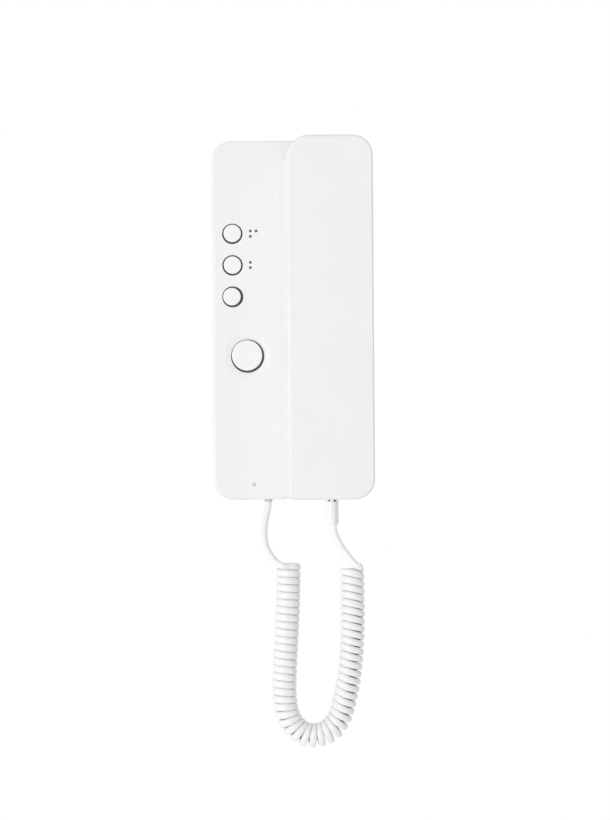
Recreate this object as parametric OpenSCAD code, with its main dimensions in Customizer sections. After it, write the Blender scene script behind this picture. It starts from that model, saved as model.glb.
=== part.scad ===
// Wall intercom with a handset on a curly cord.
// Modules are drawn as seen on the wall: x to the right, y up, z out of the wall.
// from_wall() then turns them so that +Z is up and +Y points into the wall.

/* [Base] */
// Width of the base
base_w = 88; // [84:1:100]
// Height of the base
base_h = 197; // [190:1:215]
// Corner radius of the base, seen from the front
corner_r = 11; // [6:0.5:13]
// Front of the button panel, from the wall
panel_depth = 26; // [24:0.5:30]
// Floor of the cradle behind the handset, from the wall
cradle_depth = 17; // [16.5:0.5:19]
// Wall thickness of the front cover
wall = 2.2; // [1.8:0.1:2.6]
// Rounding of the panel's front edge
panel_edge_r = 2.5; // [1:0.25:4]
// Shadow gap between the cover's rim and the wall
rim_gap = 0.6; // [0.3:0.1:1.2]

/* [Wall plate] */
// Thickness of the plate
plate_t = 2.5; // [2:0.25:3]
// Height of the plate's rim, from the wall
plate_rim_h = 7; // [6.5:0.25:7.5]
// Thickness of the rim
plate_rim_t = 1.6; // [1.2:0.1:2]
// Gap between the rim and the cover
plate_fit = 0.25; // [0.15:0.05:0.4]
// Sideways distance between the wall screws
wall_screw_pitch_x = 68; // [64:1:70]
// Upright distance between the wall screws
wall_screw_pitch_y = 172; // [166:1:174]
// Diameter of the wall screw holes
wall_screw_d = 4.5; // [3.5:0.25:5.5]
// Width of the opening for the building's cable
cable_entry_w = 28; // [16:1:30]
// Height of the opening for the building's cable
cable_entry_h = 24; // [14:1:26]
// Length of each snap tab that holds the cover
snap_l = 10; // [6:0.5:16]
// Reach of each snap tab into the rim
snap_reach = 1.45; // [1:0.05:1.6]

/* [Handset] */
// Front of the handset, from the wall
handset_front = 48; // [44:0.5:54]
// Width of the handset where it lies over the panel
handset_w = 50.3; // [48:0.1:54]
// How far the left flank leans in towards the front
flank_lean = 4.5; // [2:0.1:8]
// How far the flank lies over the panel
flank_overlap = 2.4; // [1.5:0.1:4]
// Handset's reach above the base
handset_overhang = 0; // [0:0.1:5]
// Set-back of the handset's lower end
handset_setback = 0.7; // [0:0.1:2]
// Wall thickness of the handset's shells
shell_wall = 2; // [1.6:0.1:2.4]
// Rounding of the handset's front edge
handset_edge_r = 2; // [1.5:0.25:4]
// Radius of the handset's upper left corner
handset_left_r = 16; // [10:0.5:18]
// Radius of the handset's lower left corner
handset_foot_r = 3; // [3:0.25:6]
// Gap between the handset and its cradle
cradle_gap = 0.4; // [0.3:0.05:0.8]
// Gap between the flank's foot and the panel
flank_gap = 0.3; // [0.2:0.05:0.6]

/* [Ear and mouth] */
// Diameter of the cradle's boss in the ear cup
ear_boss_d = 34; // [32:0.5:36]
// Diameter of the cradle's boss in the mouth cup
mouth_boss_d = 24; // [20:0.5:26]
// Height of both bosses
boss_h = 3; // [2:0.25:3.5]
// Distance of both cups from the base's right edge
cup_inset = 22.8; // [22:0.1:23.5]
// Distance of the ear cup from the base's top
ear_inset = 24.5; // [22:0.5:27]
// Distance of the mouth cup from the base's bottom
mouth_inset = 22.5; // [22:0.25:23.5]
// Diameter of the receiver capsule
receiver_d = 30; // [26:0.5:31]
// Thickness of the receiver capsule
receiver_t = 8; // [6:0.5:9]
// Diameter of the microphone capsule
microphone_d = 9.7; // [6:0.1:10]
// Thickness of the microphone capsule
microphone_t = 6.7; // [4:0.1:7]

/* [Buttons] */
// Diameter of the three small buttons
button_d = 9.6; // [8:0.1:10]
// Gap around each small button
button_gap = 0.8; // [0.3:0.05:1]
// Distance of the small buttons from the base's left edge
button_inset = 11.4; // [11:0.1:14]
// Distance of the top button from the base's top
button_top = 51; // [46:0.5:54]
// Distance from one small button to the next
button_pitch = 17.3; // [16:0.1:20]
// How far the upper two buttons stand proud
button_proud = 0.6; // [0.2:0.1:1]
// How far the latching button stands proud
latch_proud = 1.8; // [1:0.1:2.5]
// Travel of the upper two buttons and the door button
button_travel = 0.8; // [0.3:0.05:1.2]
// Travel of the latching button
latch_travel = 1.6; // [1:0.1:1.8]
// Diameter of the door button
door_button_d = 16.6; // [14:0.1:17.5]
// Gap around the door button
door_button_gap = 0.7; // [0.3:0.05:1]
// How far the door button lies to the left of the panel's middle
door_button_aside = 0.45; // [-1:0.05:1.5]
// Height of the door button above the middle of the base
door_button_y = -19.7; // [-24:0.1:-16]
// How far the door button stands proud
door_proud = 1.6; // [0.8:0.1:2.5]
// Diameter of the dish around the door button
dish_d = 25; // [21:0.5:28]
// Depth of that dish
dish_depth = 0.9; // [0.4:0.05:1.2]
// Diameter of the indicator's light pipe
light_pipe_d = 1.6; // [1:0.1:3]

/* [Works] */
// Thickness of the circuit boards
board_t = 1.6; // [1:0.1:2]
// Gap between the main board and the wall plate
board_lift = 3.9; // [3:0.1:4.4]
// Height of the tact switch bodies
switch_h = 4; // [3:0.1:5]
// Diameter of the tact switch plungers
plunger_d = 3.4; // [2.5:0.1:4]
// Diameter of the ringer
ringer_d = 36; // [30:0.5:37]
// Thickness of the ringer
ringer_t = 9; // [7:0.25:9.5]
// Width of the hook lever
lever_w = 6; // [4:0.25:6.5]
// Length of the hook lever's arm
lever_l = 28; // [24:0.5:30]
// Diameter of the hook lever's pin
hook_pin_d = 2; // [1.5:0.1:2.4]
// Diameter of the screws in the boards and terminals
small_screw_d = 2.5; // [2:0.1:3]
// Diameter of the handset's screws
handset_screw_d = 3; // [2.5:0.1:3.5]

/* [Cord] */
// Diameter of the cord
cord_d = 3.6; // [2.8:0.1:3.8]
// Outside diameter of the curls
coil_d = 13.4; // [12.4:0.1:14]
// Number of curls
curls = 50; // [40:1:52]
// Length of the strain relief on the handset
boot_l = 12.2; // [8:0.1:12.2]

/* [Hidden] */

$fn = 48;
over = 1;               // how far a cut runs past the face that it opens
hair = 0.01;            // thickness of the slices that a shell is hulled from
arc_steps = 8;          // straight steps in each outline corner
snug = 0.1;             // clearance of a screw or a capsule in its hole, on the radius

// Base
half_w = base_w / 2;
half_h = base_h / 2;
wall_screw_x = wall_screw_pitch_x / 2;
wall_screw_y = wall_screw_pitch_y / 2;
plate_inset = wall + plate_fit;
rim_inside = plate_inset + plate_rim_t;
panel_inside = panel_depth - wall;
cradle_inside = cradle_depth - wall;
snap_low = 3.2;         // windows in the plate's rim, from the wall
snap_high = 5.6;
snap_play = 0.2;        // between a window and its tab

// Handset: foot is its outline over the panel, tray its outline inside the cradle
foot_x = half_w - handset_w;
tray_x = foot_x + flank_overlap;
face_x = foot_x + flank_lean;
cradle_side_gap = 0.6;
cradle_x = tray_x - cradle_side_gap;
corner_reach = (handset_left_r - flank_overlap) * 0.55;  // the panel's reach over the cradle at the top
parting = panel_depth + flank_gap;
handset_rear = cradle_depth + cradle_gap;
handset_top = half_h + handset_overhang;
handset_low = -half_h + handset_setback;
handset_x = half_w - cup_inset;
ear_y = half_h - ear_inset;
mouth_y = -half_h + mouth_inset;
cup_gap = 0.5;
cup_floor = handset_rear + boss_h;
cup_inside = cup_floor + shell_wall;

// Buttons
button_x = -half_w + button_inset;
button_y = [for (i = [0:2]) half_h - button_top - i * button_pitch];
door_button_x = (cradle_x - half_w) / 2 - door_button_aside;
flange_reach = 1.7;     // how far a button's flange is wider than its cap, on the radius
flange_t = 1.2;
flange_gap = 0.6;       // between the flange and the panel
guide_gap = 0.2;        // between the flange and its guide ring
guide_t = 1;
guide_l = 4.8;
stem_d = 5;
switch_size = 6;
plunger_spare = 0.4;    // of a plunger still stands out when its button is down
plunger_hold = 1.4;     // of a plunger lies in its switch when its button is up
plunger_gap = 0.1;
latch = 2;              // number of the latching button, from the top
door = 3;               // number of the door button

// Main board
board_back = plate_t + board_lift;
board_front = board_back + board_t;
board_edge_gap = 0.95;
board_left = -half_w + rim_inside + board_edge_gap;
board_low = -half_h + rim_inside + board_edge_gap;
board_top_inset = 32;
board_top = half_h - board_top_inset;
board_waist_gap = 1.5;  // from the cradle's edge, so that the ringer has room
board_waist = cradle_x - board_waist_gap;
board_reach = 13.3;     // of the board's upper part behind the handset
board_right = foot_x + board_reach;
board_step_y = 5;
wall_screw_keepout = 7;
notch_x = -wall_screw_x + wall_screw_keepout;
notch_y = -wall_screw_y + wall_screw_keepout;
post_d = 6;
post_inset = 4;
low_post_rise = 6;      // above the mouth cup
low_post_y = mouth_y + low_post_rise;
board_posts = [
    [board_left + post_inset, board_top - post_inset],
    [board_right - post_inset, board_top - post_inset],
    [board_left + post_inset, notch_y + post_inset],
    [board_waist - post_inset, low_post_y]
];
screw_head_d = 5;
screw_head_t = 1.8;
screw_grip = 3.2;       // length of a board screw in its post

// Terminals and ringer
terminal_x = (board_left + board_waist) / 2;
terminal_rise = 15.3;   // above the board's lowest post
terminal_y = low_post_y + terminal_rise;
terminal_gap = 2.5;     // at least, from the board's edges
terminal_pitch = 7;
terminal_count = floor((board_waist - board_left - 2 * terminal_gap + hair) / terminal_pitch);
terminal_size = [terminal_count * terminal_pitch, 11, 10];
terminal_wire_d = 3;
ringer_rise = 34;       // above the mouth cup
ringer_y = mouth_y + ringer_rise;
ringer_flange_t = 2;
gasket_t = 1;
gasket_w = 3;
ringer_rib_gap = 0.3;
ringer_rib_t = 1.5;
ringer_rib_h = 4;
basket_step = 5;        // from the ringer's rim to its basket
basket_d = ringer_d - 2 * basket_step;
magnet_d = 18;
basket_front = cradle_inside - gasket_t - ringer_flange_t;
ringer_back = cradle_inside - gasket_t - ringer_t;
magnet_t = 2.4;
slot_count = 5;
slot_l = 22;
slot_w = 2.2;
slot_pitch = 5;
entry_inset = 22;       // from the base's right edge
entry_x = half_w - entry_inset;
entry_y = -4;

// Hook
hook_inset = 5;         // from the cradle's edge
hook_x = cradle_x + hook_inset;
pivot_drop = 16;        // below the board's top
pivot_y = board_top - pivot_drop;
pivot_lift = 4.2;
pivot_z = board_front + pivot_lift;
lever_t = 2;
lever_low = pivot_z - lever_t / 2;
lever_boss_d = 4.4;
lever_tail = 8;
nose_l = 6;
nose_top = handset_rear - cradle_gap;
hook_pin_gap = 0.05;
cheek_gap = 0.4;
cheek_t = 1.6;
cheek_l = 8;
bracket_t = 1;
hook_slot_gap = 0.6;
hook_slot_start = 9;
hook_slot_spare = 2;
hook_slot_top = pivot_y - hook_slot_start;
hook_slot_low = pivot_y - lever_l - hook_slot_spare;
spring_d = 4;
spring_wire = 0.5;
spring_turns = 3;
spring_arm = 14;
spring_y = pivot_y - spring_arm;

// Indicator and cord exit
cord_inset = 9.7;       // from the cradle's edge
cord_x = cradle_x - cord_inset;
led_aside = 7.4;        // to the left of the cord
led_rise = 8.2;         // above the base's bottom
led_x = cord_x - led_aside;
led_y = -half_h + led_rise;
led_size = [3, 3, 2];
pipe_gap = 0.1;
pipe_sink = 0.15;
pipe_flange_reach = 1.2;
pipe_flange_t = 1;
cord_lift = 4;
cord_z = board_front + cord_lift;
grommet_edge = 0.65;    // of the grommet's neck that shows round the cord
grommet_neck_d = cord_d + 2 * grommet_edge;
grommet_flange_d = 7.6;
grommet_flange_t = 1.5;
core_d = 2;             // the cord's cores past its jacket
header_size = [8, 6, 8];
header_inset = 3.5;
header_low = board_low + header_inset;

// Handset works
hollow_taper = handset_edge_r / 3;  // how much thicker the front shell's wall gets towards the front
jack_lift = 6.7;
jack_z = parting + jack_lift;
jack_size = [11.4, 12, 9];
jack_low = handset_low + shell_wall + hollow_taper + snug;
jack_hole = [8, 6.8];
plug_size = [7.6, 11.4, 6.4];
plug_out = 1.5;
plug_back = jack_z - plug_size[2] / 2;
boot_low = handset_low - plug_out - boot_l;
boot_aside = 0.6;       // from the plug's middle to where the cord leaves
boot_x = handset_x + boot_aside;
handset_board_size = [24, 12];
jack_back = jack_z - jack_size[2] / 2;
handset_board_back = jack_back - board_t;
handset_post_y = jack_low + handset_board_size[1] / 2;
handset_post_d = 5;
handset_post_x = 9;
ear_screw_drop = 34;    // below the ear cup
mouth_screw_rise = 26;  // above the mouth cup
handset_screw_y = [ear_y - ear_screw_drop, mouth_y + mouth_screw_rise];
handset_screw_l = 12;
handset_head_reach = 1.3;
handset_head_d = handset_screw_d + 2 * handset_head_reach;
handset_head_t = 2;
screw_seat_depth = 3.3;
screw_seat = parting - screw_seat_depth;
handset_post_wall = 1.2;
lead_d = 1.6;
lead_gap = 0.2;
lead_start = 3;         // where each lead leaves the jack, from its middle
lead_aside = 10;        // where the long lead passes the screw posts
lead_swing = 3;         // how far it still is from there at its ends
lead_bends = [10, 30];  // its bends above the mouth cup
lead_dip = 36;          // where it turns down to the receiver, below the ear cup
lead_end = [4, 3];      // its last two points, below and above the receiver's edge
short_bend = [0.6, 3.6, 2];  // the short lead's bend, from where it leaves the jack
short_end = [1, 5];
receiver_cap_d = 18;    // the receiver's magnet cap
receiver_cap_t = 2.4;
receiver_rim = cup_inside + gasket_t + receiver_t - receiver_cap_t;
microphone_boot_t = 1.6;
microphone_seat = 0.5;
receiver_rib_t = 1.2;
receiver_rib_h = 5.6;
grille_d = 2;
grille_ring_d = 14;
grille_count = 6;
voice_hole_d = 1.5;
voice_ring_d = 4;
voice_hole_count = 3;

// Route of the cord, each point as [x, y, z]
coil_axis = [
    [-3.2, -135.6, 18], [-3.6, -155, 19], [-4.6, -175, 20], [-5.7, -195, 21], [-5.7, -208, 22],
    [-4.2, -217, 22.6], [-0.5, -223.5, 23.2], [5, -227.4, 24], [11.5, -228.2, 24.8], [17.8, -226, 25.6],
    [22.6, -221.2, 26.4], [26, -213, 27.4], [29.4, -197, 29], [31.4, -177, 30], [31.8, -157, 30.5],
    [31.6, -136, 31]
];
base_tail_route = [
    [-14.7, -105, 12.2], [-15.6, -109, 12.6], [-16.3, -113, 13.3], [-16.6, -117, 14.2],
    [-16.4, -121, 15.5], [-15.5, -125, 17.2], [-13.4, -129, 19.4], [-10.4, -132.8, 21.5]
];
handset_tail_route = [
    [22.9, -118.2, 33.2], [24.3, -121.3, 33.6], [26.2, -124.6, 34.2], [28.6, -128, 34.9],
    [31.2, -131.2, 35.8], [33.8, -134, 36.8]
];
tube_sides = 8;
curl_sides = 6;
curl_rings = 8;
axis_steps = 24;        // samples between two points of the coil's axis
end_turn = 0.17;        // the last part of a turn, which the handset's tail takes over
first_tilt = 5;         // lean of the first curl, with its right side up
last_tilt = -7;         // lean of the last curl
press_gap = 0.52;       // between curls that are pressed flat where they crowd
curl_r = (coil_d - cord_d) / 2;
out_of_wall = [0, 0, 1];
down = [0, -1, 0];

// Curves and tubes

function unit(v) = v / norm(v);

// Point between b and c on a smooth curve through a, b, c, d
function curve_point(a, b, c, d, t) =
    0.5 * (2 * b + (c - a) * t + (2 * a - 5 * b + 4 * c - d) * t * t + (3 * b - a - 3 * c + d) * t * t * t);

// A smooth curve through the given points, with so many steps from one to the next
function smooth_route(points, steps) =
    let (last = len(points) - 1)
    concat(
        [for (i = [0:last - 1], k = [0:steps - 1])
            let (before = points[max(i - 1, 0)], after = points[min(i + 2, last)])
            curve_point(before, points[i], points[i + 1], after, k / steps)],
        [points[last]]
    );

// Running total of a list
function running_total(values) = [
    for (i = 0, sum = 0; i <= len(values); sum = i < len(values) ? sum + values[i] : sum, i = i + 1) sum
];

// Direction of a route at point i
function heading(points, i) =
    unit(points[min(i + 1, len(points) - 1)] - points[max(i - 1, 0)]);

// Ring of points round a centre, square to the given direction; share is its thickness across the side
function ring(centre, direction, side, d, sides, share = 1) =
    let (across = unit(side - (side * direction) * direction), up = share * cross(direction, across))
    [for (k = [0:sides - 1]) centre + d / 2 * (cos(360 * k / sides) * across + sin(360 * k / sides) * up)];

// Closed tube over a list of rings
module tube(rings) {
    sides = len(rings[0]);
    last = len(rings) - 1;
    points = [for (one = rings, point = one) point];
    around = [
        for (i = [0:last - 1], k = [0:sides - 1])
            let (a = i * sides + k, b = i * sides + (k + 1) % sides)
            each [[a, a + sides, b], [b, a + sides, b + sides]]
    ];
    start_cap = [for (k = [1:sides - 2]) [0, k, k + 1]];
    end_cap = [for (k = [1:sides - 2]) [last * sides, last * sides + k + 1, last * sides + k]];
    polyhedron(points = points, faces = concat(around, start_cap, end_cap));
}

// Plain round tube along a route; first and last give the directions at its ends
module route_tube(points, d, first, last, side = out_of_wall) {
    end = len(points) - 1;
    tube([
        for (i = [0:end])
            ring(points[i], i == 0 ? first : i == end ? last : heading(points, i), side, d, tube_sides)
    ]);
}

// Curly cord: its axis, with a turn for each pitch along it
axis_points = smooth_route(coil_axis, axis_steps);
axis_last = len(axis_points) - 1;
axis_run = running_total([for (i = [0:axis_last - 1]) norm(axis_points[i + 1] - axis_points[i])]);
turn_total = curls - end_turn;
pitch = axis_run[axis_last] / turn_total;
axis_x = [for (i = [0:axis_last]) [axis_run[i] / pitch, axis_points[i][0]]];
axis_y = [for (i = [0:axis_last]) [axis_run[i] / pitch, axis_points[i][1]]];
axis_z = [for (i = [0:axis_last]) [axis_run[i] / pitch, axis_points[i][2]]];
function axis_at(turn) = [lookup(turn, axis_x), lookup(turn, axis_y), lookup(turn, axis_z)];
near_turn = 0.05;
function axis_heading(turn) =
    unit(axis_at(min(turn + near_turn, turn_total)) - axis_at(max(turn - near_turn, 0)));

// How sharply the axis bends, as a vector towards the inside of the bend
bend_turns = 0.5;
function axis_bend(turn) =
    let (from = max(turn - bend_turns, 0), to = min(turn + bend_turns, turn_total))
    (axis_heading(to) - axis_heading(from)) / ((to - from) * pitch);

// Line that a curl winds round: the axis, leaned by a tilt that changes evenly
function curl_line(turn) =
    let (along = axis_heading(turn), tilt = first_tilt + (last_tilt - first_tilt) * turn / turn_total)
    cos(tilt) * along + sin(tilt) * unit(cross(out_of_wall, along));

// Outward direction of the curl, and the point on the cord's own centre line
function curl_out(turn) =
    let (along = curl_line(turn), across = unit(cross(out_of_wall, along)), front = cross(along, across))
    cos(360 * turn) * front + sin(360 * turn) * across;
function curl_point(turn) = axis_at(turn) + curl_r * curl_out(turn);

// Share of its thickness that a strand keeps between its neighbours, where the axis bends towards it
curl_slope = atan(pitch / (2 * PI * curl_r));
function strand_share(turn) =
    let (room = pitch * cos(curl_slope) * (1 - curl_r * (axis_bend(turn) * curl_out(turn))))
    min(1, (room - press_gap) / cord_d);

curl_start_heading = unit(curl_point(near_turn / 2) - curl_point(0));
curl_end_heading = unit(curl_point(turn_total) - curl_point(turn_total - near_turn / 2));
coil_start = curl_point(0) - cord_d * curl_start_heading;
coil_end = curl_point(turn_total) + cord_d * curl_end_heading;
curl_last = round(turn_total * curl_rings);
curl_turns = [for (i = [0:curl_last]) turn_total * i / curl_last];
curl_points = [for (turn = curl_turns) curl_point(turn)];
curl_shares = [for (turn = curl_turns) strand_share(turn)];
coil_points = concat([coil_start], curl_points, [coil_end]);
self_gap = min([
    for (i = [0:curl_last], j = [i + curl_rings / 2:1:curl_last])
        norm(curl_points[i] - curl_points[j]) - cord_d * (curl_shares[i] + curl_shares[j]) / 2
]);
coil_length = running_total([for (i = [0:len(coil_points) - 2]) norm(coil_points[i + 1] - coil_points[i])]);

// Shared shapes

// Turns a shape drawn on the wall into the part's frame
module from_wall() {
    rotate([90, 0, 0]) children();
}

// Outline with four corner radii in the order upper left, upper right, lower right, lower left
function outline(x0, x1, y0, y1, radii, inset = 0) =
    let (
        corners = [[x0, y1, 1, -1, 180], [x1, y1, -1, -1, 90], [x1, y0, -1, 1, 0], [x0, y0, 1, 1, 270]]
    )
    [
        for (c = [0:3])
            let (corner = corners[c], r = radii[c], tight = max(r - inset, hair))
            for (k = [0:arc_steps])
                let (a = corner[4] - 90 * k / arc_steps, shift = max(r, inset + hair))
                [
                    corner[0] + corner[2] * shift + tight * cos(a),
                    corner[1] + corner[3] * shift + tight * sin(a)
                ]
    ];

module slab(points, from, to) {
    translate([0, 0, from]) linear_extrude(to - from) polygon(points);
}

module rod(x, y, from, to, d) {
    translate([x, y, from]) cylinder(d = d, h = to - from);
}

// Box by its middle in x and its y and z ranges
module block(x, w, low, high, from, to) {
    translate([x - w / 2, low, from]) cube([w, high - low, to - from]);
}

// Box by its middle in x and y and its z range
module pad(x, y, w, h, from, to) {
    block(x, w, y - h / 2, y + h / 2, from, to);
}

// Diameter of a hole that takes a piece of diameter d with a snug fit
function snug_hole(d) = d + 2 * snug;

// Places on a circle
function round_places(x, y, d, count) =
    [for (i = [0:count - 1]) [x + d / 2 * cos(360 * i / count), y + d / 2 * sin(360 * i / count)]];

wall_screws = [for (sx = [-1, 1], sy = [-1, 1]) [sx * wall_screw_x, sy * wall_screw_y]];
button_places = concat([for (y = button_y) [button_x, y]], [[door_button_x, door_button_y]]);
snap_places = [for (sx = [-1, 1], sy = [-1, 1]) [sx, sy * half_h / 2]];
terminal_places = [
    for (i = [0:terminal_count - 1]) terminal_x + (i - (terminal_count - 1) / 2) * terminal_pitch
];

// Base

module wall_plate() {
    snap_gap = 0.5;
    color("gainsboro") from_wall() difference() {
        union() {
            difference() {
                slab(base_outline(plate_inset), 0, plate_rim_h);
                slab(base_outline(rim_inside), plate_t, plate_rim_h + over);
            }
            for (p = board_posts) rod(p[0], p[1], plate_t - hair, board_back, post_d);
        }
        for (p = wall_screws) rod(p[0], p[1], -over, plate_t + over, wall_screw_d);
        for (p = board_posts) rod(p[0], p[1], plate_t, board_back + over, snug_hole(small_screw_d));
        pad(entry_x, entry_y, cable_entry_w, cable_entry_h, -over, plate_t + over);
        for (p = snap_places)
            pad(p[0] * (half_w - rim_inside), p[1], 2 * plate_rim_t + over, snap_l + 2 * snap_gap,
                snap_low, snap_high);
    }
}

function base_outline(inset) =
    outline(-half_w + inset, half_w - inset, -half_h + inset, half_h - inset,
        [for (i = [0:3]) max(corner_r - inset, 1)]);

// Button panel: rounded along its front edge, and cut to the handset's outline beside the cradle
module panel_block() {
    edge_steps = 5;
    difference() {
        hull() {
            slab(panel_outline(0), rim_gap, panel_depth - panel_edge_r);
            for (i = [1:edge_steps])
                let (a = 90 * i / edge_steps, top = panel_depth - panel_edge_r * (1 - sin(a)))
                slab(panel_outline(panel_edge_r * (1 - cos(a))), top - hair, top);
        }
        slab(cradle_outline(), cradle_depth - over, panel_depth + over);
    }
}

function panel_outline(inset) =
    outline(-half_w + inset, cradle_x + corner_reach, -half_h + inset, half_h - inset,
        [max(corner_r - inset, 1), hair, hair, max(corner_r - inset, 1)]);

// Round the handset's upper left corner the cradle keeps its side gap, so the panel reaches into that corner
function cradle_outline() =
    outline(cradle_x, half_w + over, -half_h - over, handset_top + cradle_side_gap,
        [handset_left_r - flank_overlap + cradle_side_gap, hair, hair, hair]);

module cradle_block() {
    joint_overlap = 1.5;
    slab(outline(cradle_x - joint_overlap, half_w, -half_h, half_h, [hair, corner_r, corner_r, hair]),
        rim_gap, cradle_depth);
}

module cup_boss(x, y, d) {
    round_r = 0.8;
    translate([x, y, cradle_depth - hair]) cylinder(d = d, h = boss_h - round_r + hair);
    translate([x, y, cradle_depth + boss_h - round_r])
        cylinder(d1 = d, d2 = d - 2 * round_r, h = round_r);
}

module front_cover() {
    hollow_r = max(corner_r - wall, 1);
    panel_hollow = outline(-half_w + wall, cradle_x - wall, -half_h + wall, half_h - wall,
        [hollow_r, hair, hair, hollow_r]);
    dish_r = (dish_d * dish_d / 4 + dish_depth * dish_depth) / (2 * dish_depth);
    color("whitesmoke") from_wall() {
        difference() {
            union() {
                panel_block();
                cradle_block();
                cup_boss(handset_x, ear_y, ear_boss_d);
                cup_boss(handset_x, mouth_y, mouth_boss_d);
            }
            slab(base_outline(wall), -over, cradle_inside);
            slab(panel_hollow, cradle_inside - over, panel_inside);
            for (i = [0:door])
                let (p = button_places[i])
                rod(p[0], p[1], panel_inside - over, panel_depth + over, hole_d(i));
            translate([door_button_x, door_button_y, panel_depth + dish_r - dish_depth])
                sphere(r = dish_r, $fn = 96);
            rod(led_x, led_y, panel_inside - over, panel_depth + over, light_pipe_d + 2 * pipe_gap);
            translate([cord_x, -half_h - over, cord_z]) rotate([-90, 0, 0])
                cylinder(d = snug_hole(grommet_neck_d), h = wall + 2 * over);
            block(hook_x, lever_w + 2 * hook_slot_gap, hook_slot_low, hook_slot_top,
                cradle_inside - over, cradle_depth + over);
            for (i = [0:slot_count - 1])
                let (y = ringer_y + (i - (slot_count - 1) / 2) * slot_pitch)
                pad(handset_x, y, slot_l, slot_w, cradle_inside - over, cradle_depth + over);
        }
        for (i = [0:door]) guide_ring(i);
        difference() {
            rod(handset_x, ringer_y, cradle_inside - ringer_rib_h, cradle_inside + hair,
                ringer_d + 2 * (ringer_rib_gap + ringer_rib_t));
            rod(handset_x, ringer_y, cradle_inside - ringer_rib_h - over, cradle_inside + over,
                ringer_d + 2 * ringer_rib_gap);
        }
        for (p = snap_places)
            pad(p[0] * (half_w - wall - snap_reach / 2 + hair), p[1], snap_reach + 2 * hair, snap_l,
                snap_low + snap_play, snap_high - snap_play);
    }
}

// Each button's cap, hole, flange and travel, by its number
function cap_d(i) = i == door ? door_button_d : button_d;
function hole_d(i) = cap_d(i) + 2 * (i == door ? door_button_gap : button_gap);
function flange_d(i) = cap_d(i) + 2 * flange_reach;
function travel(i) = i == latch ? latch_travel : button_travel;
function plunger_top(i) = board_front + switch_h + travel(i) + plunger_spare;

module guide_ring(i) {
    p = button_places[i];
    difference() {
        rod(p[0], p[1], panel_inside - guide_l, panel_inside + hair, flange_d(i) + 2 * (guide_gap + guide_t));
        rod(p[0], p[1], panel_inside - guide_l - over, panel_inside + over, flange_d(i) + 2 * guide_gap);
    }
}

// Main board and what is on it

module main_board() {
    color("darkgreen") from_wall() difference() {
        slab([
            [board_left, board_top], [board_right, board_top], [board_right, board_step_y],
            [board_waist, board_step_y], [board_waist, board_low], [notch_x, board_low],
            [notch_x, notch_y], [board_left, notch_y]
        ], board_back, board_front);
        for (p = board_posts)
            rod(p[0], p[1], board_back - over, board_front + over, snug_hole(small_screw_d));
    }
}

module board_screws() {
    color("silver") from_wall() for (p = board_posts) {
        rod(p[0], p[1], board_front, board_front + screw_head_t, screw_head_d);
        rod(p[0], p[1], board_back - screw_grip, board_front + hair, small_screw_d);
    }
}

module tact_switches() {
    bore_spare = 0.3;
    top = board_front + switch_h;
    color("dimgray") from_wall() for (i = [0:door]) let (p = button_places[i]) difference() {
        pad(p[0], p[1], switch_size, switch_size, board_front, top);
        rod(p[0], p[1], top - plunger_hold - travel(i) - bore_spare, top + over, plunger_d + 2 * plunger_gap);
    }
}

module terminal_block() {
    top = board_front + terminal_size[2];
    low = terminal_y - terminal_size[1] / 2;
    color("seagreen") from_wall() difference() {
        block(terminal_x, terminal_size[0], low, low + terminal_size[1], board_front, top);
        for (x = terminal_places) {
            rod(x, terminal_y, board_front + terminal_size[2] / 2, top + over, snug_hole(screw_head_d));
            translate([x, low - over, board_front + terminal_size[2] / 3]) rotate([-90, 0, 0])
                cylinder(d = terminal_wire_d, h = terminal_size[1] / 2 + over);
        }
    }
}

module terminal_screws() {
    seat = board_front + terminal_size[2] / 2;
    top = seat + screw_head_t;
    slot = 0.8;
    color("silver") from_wall() for (x = terminal_places) difference() {
        rod(x, terminal_y, seat, top, screw_head_d);
        pad(x, terminal_y, slot, 2 * screw_head_d, seat + screw_head_t / 2, top + over);
    }
}

module ringer_speaker() {
    color("dimgray") from_wall() {
        rod(handset_x, ringer_y, basket_front, basket_front + ringer_flange_t, ringer_d);
        rod(handset_x, ringer_y, ringer_back + magnet_t, basket_front + hair, basket_d);
        rod(handset_x, ringer_y, ringer_back, ringer_back + magnet_t + hair, magnet_d);
    }
}

// Foam ring, gasket_t thick
module gasket(y, from, d) {
    difference() {
        rod(handset_x, y, from, from + gasket_t, d);
        rod(handset_x, y, from - over, from + gasket_t + over, d - 2 * gasket_w);
    }
}

module speaker_gasket() {
    color("black") from_wall() gasket(ringer_y, cradle_inside - gasket_t, ringer_d);
}

// Straight lead from the board's edge to the ringer
module speaker_lead() {
    from = board_waist + lead_gap;
    to = handset_x - basket_d / 2 - lead_gap;
    color("firebrick") from_wall() translate([from, ringer_y, board_front - board_t / 2]) rotate([0, 90, 0])
        cylinder(d = min(lead_d, board_t), h = to - from);
}

module hook_bracket() {
    inner = lever_w + 2 * cheek_gap;
    outer = inner + 2 * cheek_t;
    cheek_over = 1;
    top = pivot_z + hook_pin_d / 2 + cheek_over;
    color("dimgray") from_wall() difference() {
        block(hook_x, outer, pivot_y - cheek_l / 2, pivot_y + cheek_l / 2, board_front, top);
        block(hook_x, inner, pivot_y - cheek_l, pivot_y + cheek_l, board_front + bracket_t, top + over);
        translate([hook_x - outer, pivot_y, pivot_z]) rotate([0, 90, 0])
            cylinder(d = hook_pin_d + 2 * hook_pin_gap, h = 2 * outer);
    }
}

module hook_pin() {
    pin_l = lever_w + 2 * (cheek_gap + cheek_t);
    color("silver") from_wall() translate([hook_x - pin_l / 2, pivot_y, pivot_z]) rotate([0, 90, 0])
        cylinder(d = hook_pin_d, h = pin_l);
}

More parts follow.
